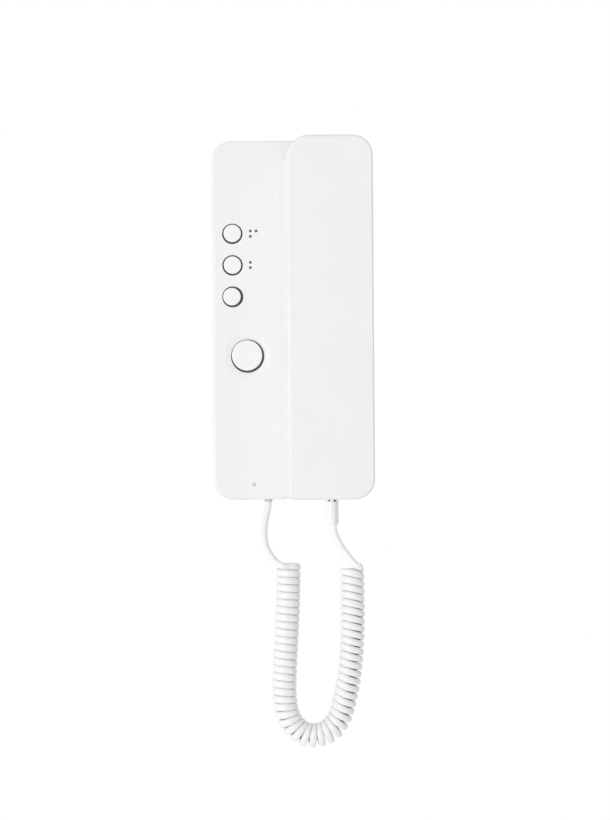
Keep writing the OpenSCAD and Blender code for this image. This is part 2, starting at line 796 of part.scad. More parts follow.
module hook_lever() {
    color("ivory") from_wall() difference() {
        union() {
            block(hook_x, lever_w, pivot_y - lever_l, pivot_y + lever_tail, lever_low, lever_low + lever_t);
            block(hook_x, lever_w, pivot_y - lever_l, pivot_y - lever_l + nose_l, lever_low, nose_top);
            translate([hook_x - lever_w / 2, pivot_y, pivot_z]) rotate([0, 90, 0])
                cylinder(d = lever_boss_d, h = lever_w);
        }
        translate([hook_x - lever_w, pivot_y, pivot_z]) rotate([0, 90, 0])
            cylinder(d = hook_pin_d + 2 * hook_pin_gap, h = 2 * lever_w);
    }
}

module hook_switch() {
    switch_w = 5;
    switch_l = 3.6;
    switch_t = 1.6;
    low = pivot_y + lever_tail - switch_l;
    color("black") from_wall()
        block(hook_x, switch_w, low, low + switch_l, board_front, board_front + switch_t);
}

// Small spring that lifts the lever, one round wire from board to arm
module hook_spring() {
    rings = 12;
    height = lever_low - board_front - spring_wire;
    wire_r = (spring_d - spring_wire) / 2;
    route = [
        for (i = [0:spring_turns * rings])
            let (a = 360 * i / rings)
            [hook_x + wire_r * cos(a), spring_y + wire_r * sin(a),
                board_front + spring_wire / 2 + height * i / (spring_turns * rings)]
    ];
    color("silver") from_wall()
        route_tube(route, spring_wire, heading(route, 0), heading(route, len(route) - 1));
}

module status_led() {
    color("tomato") from_wall()
        pad(led_x, led_y, led_size[0], led_size[1], board_front, board_front + led_size[2]);
}

module light_pipe() {
    foot_gap = 0.2;
    foot = board_front + led_size[2] + foot_gap;
    color("lightgray") from_wall() {
        rod(led_x, led_y, foot, panel_depth - pipe_sink, light_pipe_d);
        rod(led_x, led_y, panel_inside - pipe_flange_t, panel_inside, light_pipe_d + 2 * pipe_flange_reach);
    }
}

// Bush that the cord leaves the base through
module cord_grommet() {
    color("gray") from_wall() translate([cord_x, -half_h, cord_z]) rotate([-90, 0, 0]) difference() {
        union() {
            cylinder(d = grommet_neck_d, h = wall + hair);
            translate([0, 0, wall]) cylinder(d = grommet_flange_d, h = grommet_flange_t);
        }
        translate([0, 0, -over]) cylinder(d = snug_hole(core_d), h = wall + grommet_flange_t + 2 * over);
    }
}

// The cord's cores, from the end of its jacket to the header
module cord_lead() {
    color("firebrick") from_wall() translate([cord_x, -half_h, cord_z]) rotate([-90, 0, 0])
        cylinder(d = core_d, h = header_low + half_h);
}

module cord_header() {
    top = board_front + header_size[2];
    color("ivory") from_wall()
        block(cord_x, header_size[0], header_low, header_low + header_size[1], board_front, top);
}

// Buttons

module button(i, proud) {
    p = button_places[i];
    round_r = 0.5;
    steps = 4;
    r = cap_d(i) / 2;
    top = panel_depth + proud;
    flange_top = panel_inside - flange_gap;
    foot = plunger_top(i);
    edge = [
        for (k = [0:steps])
            let (a = 90 * k / steps)
            [r - round_r * (1 - cos(a)), top - round_r * (1 - sin(a))]
    ];
    translate([p[0], p[1], 0]) rotate_extrude() polygon(concat(
        [
            [0, foot], [stem_d / 2, foot], [stem_d / 2, flange_top - flange_t],
            [flange_d(i) / 2, flange_top - flange_t], [flange_d(i) / 2, flange_top], [r, flange_top]
        ],
        edge,
        [[0, top]]
    ));
}

module plunger(i) {
    p = button_places[i];
    rod(p[0], p[1], board_front + switch_h - plunger_hold, plunger_top(i), plunger_d);
}

module upper_button() {
    color("white") from_wall() button(0, button_proud);
}

module upper_plunger() {
    color("black") from_wall() plunger(0);
}

module middle_button() {
    color("white") from_wall() button(1, button_proud);
}

module middle_plunger() {
    color("black") from_wall() plunger(1);
}

module lower_button() {
    color("white") from_wall() button(latch, latch_proud);
}

module lower_plunger() {
    color("black") from_wall() plunger(latch);
}

module door_button() {
    color("white") from_wall() button(door, door_proud);
}

module door_plunger() {
    color("black") from_wall() plunger(door);
}

// Handset

// Outline at the foot of the flank, inside the cradle and at the front face
function foot_outline(inset) = handset_outline(foot_x + inset, inset, handset_left_r);
function tray_outline(inset) = handset_outline(tray_x + inset, inset, handset_left_r - flank_overlap);
function face_outline(inset) = handset_outline(face_x + inset, inset, handset_left_r - flank_lean);
function handset_outline(left, inset, left_r) =
    let (right_r = max(corner_r - inset, 1))
    outline(left, half_w - inset, handset_low + inset, handset_top - inset,
        [max(left_r - inset, 1), right_r, right_r, max(handset_foot_r - inset, 0.5)]);

module handset_front_shell() {
    edge_steps = 5;
    color("white") from_wall() difference() {
        union() {
            difference() {
                hull() {
                    slab(foot_outline(0), parting, parting + hair);
                    for (i = [0:edge_steps])
                        let (a = 90 * i / edge_steps, top = handset_front - handset_edge_r * (1 - sin(a)))
                        slab(face_outline(handset_edge_r * (1 - cos(a))), top - hair, top);
                }
                hull() {
                    slab(tray_outline(shell_wall), parting - over, parting);
                    slab(face_outline(shell_wall + hollow_taper), handset_front - shell_wall - hair,
                        handset_front - shell_wall);
                }
            }
            for (y = handset_screw_y)
                rod(handset_x, y, parting, handset_front - shell_wall + hair,
                    snug_hole(handset_screw_d) + 2 * handset_post_wall);
        }
        for (y = handset_screw_y)
            rod(handset_x, y, parting - over, screw_seat + handset_screw_l + snug,
                snug_hole(handset_screw_d));
        jack_opening(handset_low - over, jack_low + over);
    }
}

// Opening for the plug, along the jack's middle line
module jack_opening(low, high) {
    block(handset_x, jack_hole[0], low, high, jack_z - jack_hole[1] / 2, jack_z + jack_hole[1] / 2);
}

// Cup in the back of the handset that takes one of the cradle's bosses
module cup_wall(y, d) {
    rod(handset_x, y, handset_rear, cup_inside, d + 2 * (cup_gap + shell_wall));
}

module cup_hollow(y, d) {
    rod(handset_x, y, handset_rear - over, cup_floor, d + 2 * cup_gap);
}

module handset_rear_shell() {
    color("white") from_wall() difference() {
        union() {
            difference() {
                slab(tray_outline(0), handset_rear, parting);
                slab(tray_outline(shell_wall), handset_rear + shell_wall, parting + over);
            }
            cup_wall(ear_y, ear_boss_d);
            cup_wall(mouth_y, mouth_boss_d);
            for (y = handset_screw_y)
                rod(handset_x, y, handset_rear, parting, snug_hole(handset_head_d) + 2 * handset_post_wall);
            for (side = [-1, 1])
                rod(handset_x + side * handset_post_x, handset_post_y, handset_rear, handset_board_back,
                    handset_post_d);
            rod(handset_x, ear_y, cup_inside - hair, cup_inside + receiver_rib_h,
                snug_hole(receiver_d) + 2 * receiver_rib_t);
        }
        cup_hollow(ear_y, ear_boss_d);
        cup_hollow(mouth_y, mouth_boss_d);
        rod(handset_x, ear_y, cup_inside, cup_inside + receiver_rib_h + over, snug_hole(receiver_d));
        for (p = concat([[handset_x, ear_y]], round_places(handset_x, ear_y, grille_ring_d, grille_count)))
            rod(p[0], p[1], cup_floor - over, cup_inside + over, grille_d);
        for (p = round_places(handset_x, mouth_y, voice_ring_d, voice_hole_count))
            rod(p[0], p[1], cup_floor - over, cup_inside + over, voice_hole_d);
        for (y = handset_screw_y) {
            rod(handset_x, y, handset_rear - over, screw_seat, snug_hole(handset_head_d));
            rod(handset_x, y, handset_rear - over, parting + over, snug_hole(handset_screw_d));
        }
    }
}

module receiver_gasket() {
    color("black") from_wall() gasket(ear_y, cup_inside, receiver_d);
}

module receiver_capsule() {
    color("dimgray") from_wall() {
        rod(handset_x, ear_y, cup_inside + gasket_t, receiver_rim, receiver_d);
        rod(handset_x, ear_y, receiver_rim - hair, receiver_rim + receiver_cap_t, receiver_cap_d);
    }
}

module microphone_boot() {
    top = cup_inside + microphone_seat + microphone_t;
    inner_d = snug_hole(microphone_d);
    color("black") from_wall() difference() {
        rod(handset_x, mouth_y, cup_inside, top, inner_d + 2 * microphone_boot_t);
        rod(handset_x, mouth_y, cup_inside + microphone_seat, top + over, inner_d);
        rod(handset_x, mouth_y, cup_inside - over, top, voice_ring_d + voice_hole_d);
    }
}

module microphone_capsule() {
    from = cup_inside + microphone_seat;
    color("silver") from_wall() rod(handset_x, mouth_y, from, from + microphone_t, microphone_d);
}

module handset_board() {
    color("darkgreen") from_wall()
        block(handset_x, handset_board_size[0], jack_low, jack_low + handset_board_size[1],
            handset_board_back, jack_back);
}

module handset_jack() {
    color("black") from_wall() difference() {
        block(handset_x, jack_size[0], jack_low, jack_low + jack_size[1],
            jack_back, jack_back + jack_size[2]);
        jack_opening(jack_low - over, handset_low - plug_out + plug_size[1] + snug);
    }
}

// Leads from the jack to the receiver and to the microphone
module handset_leads() {
    start = jack_low + jack_size[1] + lead_gap;
    receiver_low = ear_y - receiver_d / 2;
    receiver_z = receiver_rim + lead_d / 2 + lead_gap;
    microphone_z = cup_inside + microphone_seat + microphone_t + lead_gap;
    long_x = handset_x + lead_aside;
    short_x = handset_x - lead_start;
    receiver_route = [
        [handset_x + lead_start, start, jack_z], [handset_x + lead_start, start + lead_d, jack_z],
        [long_x - lead_swing, mouth_y + lead_bends[0], jack_z], [long_x, mouth_y + lead_bends[1], jack_z],
        [long_x, ear_y - lead_dip, jack_z], [long_x, receiver_low - lead_end[0], receiver_z],
        [long_x - lead_swing, receiver_low + lead_end[1], receiver_z]
    ];
    microphone_route = [
        [short_x, start, jack_z], [short_x, start + lead_d, jack_z],
        [short_x + short_bend[0], start + short_bend[1], microphone_z + short_bend[2]],
        [short_x + short_end[0], start + short_end[1], microphone_z]
    ];
    color("firebrick") from_wall() {
        route_tube(receiver_route, lead_d, -down, heading(receiver_route, len(receiver_route) - 1));
        route_tube(microphone_route, lead_d, -down, -out_of_wall, [1, 0, 0]);
    }
}

module handset_screws() {
    socket_d = 2.2;
    color("silver") from_wall() for (y = handset_screw_y) difference() {
        union() {
            rod(handset_x, y, screw_seat - handset_head_t, screw_seat, handset_head_d);
            rod(handset_x, y, screw_seat - hair, screw_seat + handset_screw_l, handset_screw_d);
        }
        rod(handset_x, y, screw_seat - handset_head_t - over, screw_seat - handset_head_t / 2, socket_d);
    }
}

module cord_plug() {
    low = handset_low - plug_out;
    color("lightgray") from_wall()
        block(handset_x, plug_size[0], low, low + plug_size[1], plug_back, plug_back + plug_size[2]);
}

// Strain relief that tapers from the plug to the cord, mostly on its left
module cord_boot() {
    side_step = 0.4;
    end_round = 0.6;
    top = handset_low - plug_out;
    w = plug_size[0] - 2 * side_step;
    end_w = w - 2 * boot_aside;
    front = plug_back + plug_size[2];
    color("white") from_wall() hull() {
        block(handset_x, w, top - hair, top, plug_back, front);
        block(boot_x, end_w, boot_low + end_round, top, plug_back + boot_aside, front - boot_aside);
        block(boot_x, end_w - 2 * end_round, boot_low, top,
            plug_back + boot_aside + end_round, front - boot_aside - end_round);
    }
}

// Cord

module cord_base_tail() {
    exit = [cord_x, -half_h, cord_z];
    route = concat([exit, exit + cord_d * down], base_tail_route, [coil_start]);
    color("white") from_wall() route_tube(route, cord_d, down, curl_start_heading);
}

module cord_coil() {
    echo(curl_gap_mm = self_gap, coil_length_mm = coil_length[len(coil_length) - 1]);
    last = len(coil_points) - 1;
    color("white") from_wall() tube([
        for (i = [0:last])
            ring(
                coil_points[i],
                i <= 1 ? curl_start_heading : i >= last - 1 ? curl_end_heading : heading(coil_points, i),
                curl_out(curl_turns[min(max(i - 1, 0), curl_last)]),
                cord_d,
                curl_sides,
                curl_shares[min(max(i - 1, 0), curl_last)]
            )
    ]);
}

module cord_handset_tail() {
    exit = [boot_x, boot_low, jack_z];
    route = concat([exit, exit + cord_d * down], handset_tail_route, [coil_end]);
    color("white") from_wall() route_tube(route, cord_d, down, -curl_end_heading);
}

wall_plate();
front_cover();
main_board();
board_screws();
tact_switches();
terminal_block();
terminal_screws();
ringer_speaker();
speaker_gasket();
speaker_lead();
hook_bracket();
hook_pin();
hook_lever();
hook_switch();
hook_spring();
status_led();
light_pipe();
cord_grommet();
cord_lead();
cord_header();
upper_button();
upper_plunger();
middle_button();
middle_plunger();
lower_button();
lower_plunger();
door_button();
door_plunger();
handset_front_shell();
handset_rear_shell();
receiver_capsule();
receiver_gasket();
microphone_capsule();
microphone_boot();
handset_board();
handset_jack();
handset_leads();
handset_screws();
cord_plug();
cord_boot();
cord_base_tail();
cord_coil();
cord_handset_tail();
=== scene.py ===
# %% [markdown]
# # A wall intercom with a handset
# A shallow white base hangs on the wall. A handset lies in it, and a curly cord joins the two.
# The imported solids give every piece its size and place. This lesson dresses them: it remakes the
# mouldings as smooth surfaces, winds the cord, and gives each piece the finish of its real material.
# The grey under the keys and in the boot's two windows is painted shade.

# %% Load the solids
import math

import bmesh
import bpy
import numpy as np
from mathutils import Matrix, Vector
from mathutils.geometry import delaunay_2d_cdt


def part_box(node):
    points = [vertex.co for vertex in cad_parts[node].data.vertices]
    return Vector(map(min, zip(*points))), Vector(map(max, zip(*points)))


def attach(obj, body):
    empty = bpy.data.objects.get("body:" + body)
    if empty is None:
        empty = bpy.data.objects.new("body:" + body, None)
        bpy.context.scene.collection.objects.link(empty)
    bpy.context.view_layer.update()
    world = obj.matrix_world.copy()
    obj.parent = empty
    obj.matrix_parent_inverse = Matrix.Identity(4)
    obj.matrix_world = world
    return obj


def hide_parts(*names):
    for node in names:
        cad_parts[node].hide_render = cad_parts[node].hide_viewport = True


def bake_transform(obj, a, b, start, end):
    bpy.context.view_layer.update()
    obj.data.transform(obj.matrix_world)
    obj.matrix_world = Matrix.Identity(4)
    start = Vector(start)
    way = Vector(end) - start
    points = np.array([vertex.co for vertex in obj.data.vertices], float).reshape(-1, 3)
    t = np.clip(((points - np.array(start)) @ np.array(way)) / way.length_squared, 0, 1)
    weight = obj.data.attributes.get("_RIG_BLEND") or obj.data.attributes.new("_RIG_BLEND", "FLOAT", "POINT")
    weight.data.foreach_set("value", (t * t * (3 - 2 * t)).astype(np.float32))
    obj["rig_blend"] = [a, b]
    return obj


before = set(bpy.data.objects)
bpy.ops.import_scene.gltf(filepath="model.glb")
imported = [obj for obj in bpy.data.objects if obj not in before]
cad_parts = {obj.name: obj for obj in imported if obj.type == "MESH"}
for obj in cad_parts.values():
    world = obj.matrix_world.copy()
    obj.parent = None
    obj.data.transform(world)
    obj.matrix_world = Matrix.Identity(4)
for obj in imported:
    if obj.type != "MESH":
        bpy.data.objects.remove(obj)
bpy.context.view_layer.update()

# %% [markdown]
# ## Measures on the wall
# A fitter measures such a unit as it hangs: across, up, and out from the wall, in millimetres.
# The frame has +Z up and +Y into the wall, in metres. Two small functions carry measures between
# the two, so the shapes below can be written the way the object is looked at.

# %% Wall measures
MM = 0.001


def from_wall(points):
    """Millimetres (right, up, out of the wall) to the frame's metres: (right, -out, up) / 1000."""
    right, up, out = np.moveaxis(np.asarray(points, float), -1, 0)
    return np.stack([right, -out, up], axis=-1) * MM


def span(node):
    """Lowest and highest corner of a solid, in millimetres as seen on the wall."""
    low, high = (np.array(corner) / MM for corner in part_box(node))
    return np.array([low[0], low[2], -high[1]]), np.array([high[0], high[2], -low[1]])


cover_low, cover_high = span("front_cover")
front_low, front_high = span("handset_front_shell")
rear_low, rear_high = span("handset_rear_shell")
print("cover, mm:", np.round(cover_high - cover_low, 1))
print("handset, mm:", np.round(front_high - np.minimum(front_low, rear_low), 1))

# %% [markdown]
# ## Camera
# The picture was taken square on, from about a metre, with a portrait lens: the handset stands out
# towards the camera and looks a little larger than the base behind it.
# Upright edges lean by less than half a degree, so the camera is rolled by that much.

# %% Camera
camera_distance = 1.0
camera_right = 0.0066
camera_up = -0.0495
camera_lens = 77.9
camera_roll = math.radians(0.42)

camera = bpy.data.objects.new("camera", bpy.data.cameras.new("camera"))
bpy.context.scene.collection.objects.link(camera)
camera.location = (camera_right, -camera_distance, camera_up)
camera.rotation_euler = (math.pi / 2, camera_roll, 0)
camera.data.lens = camera_lens
bpy.context.scene.camera = camera
print("camera, mm from the wall:", round(camera_distance / MM))

# %% [markdown]
# ## Sheets and plates
# A moulding is made here of two kinds of surface. A sheet joins rows of points, one row after another,
# as a profile carried along a path does. A plate is a flat face with holes in it, which a constrained
# triangulation fills. Patches share their border points, so welding them gives one closed skin.

# %% Outlines
ARC_STEPS = 12
ROUND_STEPS = 72
SMALL_STEPS = 24
LEAST_CORNER = 0.02


def circle(centre, radius, count=ROUND_STEPS):
    """Closed loop: centre + radius * (cos a, sin a) for even steps of a."""
    angle = np.linspace(0, 2 * np.pi, count, endpoint=False)
    return np.asarray(centre) + radius * np.column_stack([np.cos(angle), np.sin(angle)])


def outline(left, right, low, high, radii):
    """Closed loop of a box with a quarter circle at each corner.

    The radii are those of the upper left, lower left, lower right and upper right corner.
    None gets smaller than LEAST_CORNER, so that its points stay apart.
    """
    signs = np.array([[-1, 1], [-1, -1], [1, -1], [1, 1]])
    corners = np.array([[left, high], [left, low], [right, low], [right, high]])
    radii = np.maximum(np.asarray(radii, float), LEAST_CORNER)[:, None]
    angle = np.radians(np.array([90, 180, 270, 0])[:, None] + np.linspace(0, 90, ARC_STEPS + 1))
    turn = np.stack([np.cos(angle), np.sin(angle)], axis=-1)
    return ((corners - signs * radii)[:, None] + radii[:, None] * turn).reshape(-1, 2)


def slot_outline(centre, length, width):
    """Closed loop of a slot with round ends."""
    reach = np.array([length, width]) / 2
    (left, low), (right, high) = centre - reach, centre + reach
    return outline(left, right, low, high, [width / 2] * 4)


def rounding(radius, steps=8):
    """Quarter round as (inset, drop) pairs, from the side (0, radius) to the top (radius, 0)."""
    angle = np.linspace(0, np.pi / 2, steps + 1)
    return np.column_stack([radius * (1 - np.cos(angle)), radius * (1 - np.sin(angle))])


print("points of a circle:", ROUND_STEPS, "and of a rounded box:", 4 * (ARC_STEPS + 1))

# %% Patches
MERGE_MM = 1e-6


def lift(loop, out):
    """A flat loop moved out from the wall; out is one distance, or one for each point."""
    return np.column_stack([loop, np.broadcast_to(out, len(loop))])


def sheet(rows, around=True):
    """Quads between rows of points: row i is joined to row i + 1, and around closes each row on itself."""
    points = np.array(rows, float)
    count, columns = points.shape[:2]
    index = np.arange(count * columns).reshape(count, columns)
    if around:
        index = np.column_stack([index, index[:, :1]])
    quads = np.stack([index[:-1, :-1], index[:-1, 1:], index[1:, 1:], index[1:, :-1]], axis=-1)
    return from_wall(points.reshape(-1, 3)), quads.reshape(-1, 4)


def plate(outer, holes, to_wall):
    """Triangles inside the outer loop and outside the holes; to_wall gives flat points their place."""
    loops = [np.asarray(loop) for loop in (outer, *holes)]
    starts = np.cumsum([0] + [len(loop) for loop in loops])
    rings = []
    for loop, start in zip(loops, starts):
        x, y = loop.T
        ring = np.arange(start, start + len(loop))
        counter_clockwise = np.sum(x * np.roll(y, -1) - y * np.roll(x, -1)) > 0
        rings.append((ring if counter_clockwise else ring[::-1]).tolist())
    corners = [Vector(point) for point in np.concatenate(loops)]
    inside_constraints = 1
    points, _, faces, _, _, sources = delaunay_2d_cdt(corners, [], rings, inside_constraints, MERGE_MM)
    kept = [face for face, source in zip(faces, sources) if set(source) == {0}]
    return from_wall(to_wall(np.array([point[:] for point in points]))), np.array(kept)


def flat_plate(outer, holes, out):
    """A plate that faces the room, at one distance from the wall."""
    return plate(outer, holes, lambda points: lift(points, out))


def bore(centre, profile, count=ROUND_STEPS):
    """A surface turned about a line out of the wall; profile is (radius, out) pairs."""
    return sheet([lift(circle(centre, radius, count), out) for radius, out in profile])


print("quads of a tube between two circles:", len(bore((0, 0), [(1, 0), (1, 1)])[1]))

# %% Pieces
WELD = 2e-6


def piece(name, patches, body, finish, nodes=(), sharp=32):
    """One object from patches: welded, facing outwards, and riding on a body.

    Edges that turn by more than the sharp angle, in degrees, stay sharp. The piece replaces the nodes.
    """
    starts = np.cumsum([0] + [len(points) for points, _ in patches])
    faces = [face for (_, quads), start in zip(patches, starts) for face in (quads + start).tolist()]
    mesh = bpy.data.meshes.new(name)
    mesh.from_pydata(np.concatenate([points for points, _ in patches]), [], faces)
    skin = bmesh.new()
    skin.from_mesh(mesh)
    bmesh.ops.remove_doubles(skin, verts=skin.verts, dist=WELD)
    bmesh.ops.dissolve_degenerate(skin, edges=skin.edges, dist=WELD)
    bmesh.ops.recalc_face_normals(skin, faces=skin.faces)
    open_edges = sum(not edge.is_manifold for edge in skin.edges)
    skin.to_mesh(mesh)
    skin.free()
    mesh.shade_smooth()
    mesh.set_sharp_from_angle(angle=math.radians(sharp))
    made = bpy.data.objects.new(name, mesh)
    bpy.context.scene.collection.objects.link(made)
    made.data.materials.append(finish)
    weighted = made.modifiers.new("flat faces stay flat", "WEIGHTED_NORMAL")
    weighted.keep_sharp = True
    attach(made, body)
    if nodes:
        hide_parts(*nodes)
    print(name, "faces:", len(mesh.polygons), "open edges:", open_edges)
    return made


# %% [markdown]
# ## Finishes
# Every finish starts from the real material. Colours are written as they look on a screen, so one
# function turns them into the linear values that the renderer works with. Patterns read Object
# coordinates, which are metres here, so a grain's scale is one over its size.
# Nearly all of this object is moulded plastic, so one recipe serves for all of it: two close tones, as
# pigment never mixes quite evenly, and the grain of the steel mould. A plain colour would do from afar,
# but then every piece would look like the same paint.

# %% Finish tools
def linear(colour):
    """sRGB hex to linear RGBA: c / 12.92 below 0.04045, else ((c + 0.055) / 1.055) ** 2.4."""
    shares = np.array([int(colour[i:i + 2], 16) for i in (1, 3, 5)]) / 255
    values = np.where(shares <= 0.04045, shares / 12.92, ((shares + 0.055) / 1.055) ** 2.4)
    return (*values.tolist(), 1.0)


def add_node(tree, kind, inputs=(), **settings):
    """Adds a node: settings are its own properties, and inputs are values or the sockets that feed it."""
    node = tree.nodes.new(kind)
    for key, value in settings.items():
        setattr(node, key, value)
    for key, value in dict(inputs).items():
        if isinstance(value, bpy.types.NodeSocket):
            tree.links.new(value, node.inputs[key])
        else:
            node.inputs[key].default_value = value
    return node


def per_metre(size_mm):
    """Scale of a pattern whose features are that many millimetres apart."""
    return 1 / (size_mm * MM)


def moulded(name, light, dark, gloss, grain_mm, relief_mm, cloud_mm=18, **shader):
    """Moulded plastic: two close tones in wide clouds, and the mould's grain in relief and gloss.

    gloss is the lowest and highest roughness, and shader holds settings of the shader itself.
    """
    material = bpy.data.materials.new(name)
    material.use_nodes = True
    tree = material.node_tree
    tree.nodes.clear()
    where = add_node(tree, "ShaderNodeTexCoord").outputs["Object"]
    cloud = add_node(tree, "ShaderNodeTexNoise", {
        "Vector": where, "Scale": per_metre(cloud_mm), "Detail": 2})
    grain = add_node(tree, "ShaderNodeTexNoise", {
        "Vector": where, "Scale": per_metre(grain_mm), "Detail": 3})
    tone = add_node(tree, "ShaderNodeMixRGB", {
        "Fac": cloud.outputs["Fac"], "Color1": linear(dark), "Color2": linear(light)})
    rough = add_node(tree, "ShaderNodeMapRange", {
        "Value": grain.outputs["Fac"], "To Min": gloss[0], "To Max": gloss[1]})
    relief = add_node(tree, "ShaderNodeBump", {
        "Height": grain.outputs["Fac"], "Distance": relief_mm * MM, "Strength": 1.0})
    skin = add_node(tree, "ShaderNodeBsdfPrincipled", {
        "Base Color": tone.outputs["Color"], "Roughness": rough.outputs["Result"],
        "Normal": relief.outputs["Normal"], **shader})
    add_node(tree, "ShaderNodeOutputMaterial", {"Surface": skin.outputs["BSDF"]})
    print(name, "grain, mm:", grain_mm)
    return material


print("mid grey in linear light:", round(linear("#808080")[0], 3))

# %% [markdown]
# The white pieces are what the eye meets first. They differ only by a shade and by how polished their
# moulds were. A mould's grain is a few hundredths of a millimetre wide, too fine to show at this distance,
# so here and below it is drawn about ten times as coarse.

# %% White plastics
# Each has a light and a dark tone, a range of roughness, and the grain's width and relief in mm.
# ABS from a lightly etched mould: a neutral white with a dull, even sheen
cover_abs = moulded("white_ABS_cover", "#F0F0F0", "#EDEDED", (0.36, 0.48), 0.5, 0.006, IOR=1.54)
# ABS of another batch: a touch cooler and duller, so the handset stands off the panel by its tone
handset_abs = moulded("white_ABS_handset", "#F1F1F3", "#EEEEF0", (0.38, 0.5), 0.5, 0.005, IOR=1.54)
# ABS from a polished mould: glossier and a touch warmer, so the keys catch small clear lights
button_abs = moulded("white_ABS_button", "#F3F3F1", "#F0F0EE", (0.28, 0.36), 0.4, 0.003, IOR=1.54)
# Extruded soft PVC: smooth and a little shiny, so each curl shows a soft light along its back
cord_pvc = moulded("white_PVC_cord", "#F6F6F5", "#F2F2F0", (0.3, 0.42), 0.8, 0.012, cloud_mm=30, IOR=1.53)
# Moulded soft PVC: duller than the cord, so the boot's facets show as flat tones
boot_pvc = moulded("soft_PVC_boot", "#F8F8F7", "#F4F4F2", (0.42, 0.55), 0.6, 0.012, IOR=1.53)

# %% [markdown]
# The greys stay in the background: the wall plate, the grommet and the ink. Each is another material or
# comes from another mould, so each has its own tone and grain, where one flat grey could serve for all.
# Two more greys are painted shade: the keys' skirts, which darken the gap round each key, and the
# boot's two windows.

# %% Grey plastics and ink
# ABS with regrind in it: a flat pale grey for the side that faces the wall
plate_abs = moulded("grey_ABS_wall_plate", "#DADAD7", "#D2D2CF", (0.5, 0.62), 0.9, 0.02, IOR=1.54)
# Soft PVC: a dull, warm grey lip
grommet_pvc = moulded("grey_PVC_grommet", "#D2D0CC", "#C9C7C3", (0.5, 0.62), 0.6, 0.012, IOR=1.53)
# Painted shade: a dull mid grey on the keys' hidden skirts, so that the narrow gap round a key looks dark
# skirt_painted_shade = moulded("grey_nylon_key_skirt", "#77777A", "#6B6B6E", (0.5, 0.62), 0.6, 0.01,
# IOR=1.53)
skirt_painted_shade = moulded("grey_nylon_key_skirt", "#77777A", "#6B6B6E", (0.5, 0.62), 0.6, 0.01, IOR=1.53)
# Painted shade: a dark grey for the two points of shade in the boot's collar
window_painted_shade = moulded("boot_window_painted_shade", "#666668", "#5A5A5C", (0.5, 0.6), 0.4, 0.004,
                      cloud_mm=2, IOR=1.53)
# Pad-printed ink: a matt dark grey with hardly any relief
ink = moulded("grey_print_ink", "#5C5C5E", "#525254", (0.5, 0.6), 0.2, 0.002, cloud_mm=1, IOR=1.5)

# %% [markdown]
# The works show only through slots and openings, once the handset is lifted or the unit is seen from
# behind. One dark finish for all of them would do there, but the pieces are also looked at one by one.
# So they get the same recipe, with the colours that such parts usually have: green boards, black
# switches, red leads and bright screws.

# %% Finishes of the works
# Acetal: ivory and waxy, with a soft shine
lever_pom = moulded("ivory_acetal_lever", "#E9E4D3", "#E2DCC9", (0.3, 0.4), 0.7, 0.004, IOR=1.48)
# Nylon: a dull black that lifts to dark grey in the light
black_pa = moulded("black_nylon", "#232325", "#1B1B1D", (0.45, 0.6), 0.6, 0.01, IOR=1.53)
# Solder mask: a shiny green skin, uneven over the copper beneath it
mask_green = moulded("green_solder_mask", "#2E6B3E", "#255A33", (0.2, 0.35), 1.6, 0.02,
                     cloud_mm=6, IOR=1.55)
# Nylon: a duller and lighter green than the board
terminal_pa = moulded("green_nylon_terminal", "#3F8A4C", "#377D44", (0.4, 0.52), 0.6, 0.01, IOR=1.53)
# Rubber: black, with next to no shine
soft_black = moulded("black_rubber", "#1E1E1F", "#171718", (0.65, 0.8), 0.8, 0.03, IOR=1.52)
# Open foam: a rough, spotted grey
foam_grey = moulded("grey_foam", "#6E6E70", "#58585A", (0.85, 0.95), 1.0, 0.12, cloud_mm=3, IOR=1.45)
# Extruded PVC: a smooth red, a little shiny
lead_pvc = moulded("red_PVC_lead", "#B23A34", "#A3332E", (0.35, 0.45), 0.7, 0.008, IOR=1.53)
# Zinc on steel: a bright metal, clouded by its plating
zinc_steel = moulded("zinc_plated_steel", "#C9CBCC", "#B4B7B9", (0.25, 0.42), 0.3, 0.004,
                     cloud_mm=4, Metallic=1.0)
# Polycarbonate: clear and glossy, so the plug's edges glint
clear_pc = moulded("clear_polycarbonate", "#F2F4F5", "#E8EBEC", (0.08, 0.16), 0.8, 0.004,
                   IOR=1.58, **{"Transmission Weight": 0.7})
# Acrylic with a little white in it: a small milky point while it isn't lit
clear_pmma = moulded("clear_acrylic_light_pipe", "#E6E6E3", "#DEDEDB", (0.08, 0.16), 0.5, 0.003,
                     IOR=1.49, **{"Transmission Weight": 0.2})

# %% [markdown]
# ## Curly cord
# The cord is a thin white PVC jacket wound on a rod and set by heat, so it springs back into curls.
# It leaves the base straight down, hangs in one loop of curls, and climbs to the handset.
# A curve with a bevel could draw it, but a mesh tube can bend with the handset when that is lifted.
# So the curls are a helix around a smooth axis, and a ring of points is carried along it.
# The curls aren't quite square to their axis: they tilt one way at the first end and the other way at the
# last, and the last ones lean back to the wall as well, where the cord pulls them up to the handset.

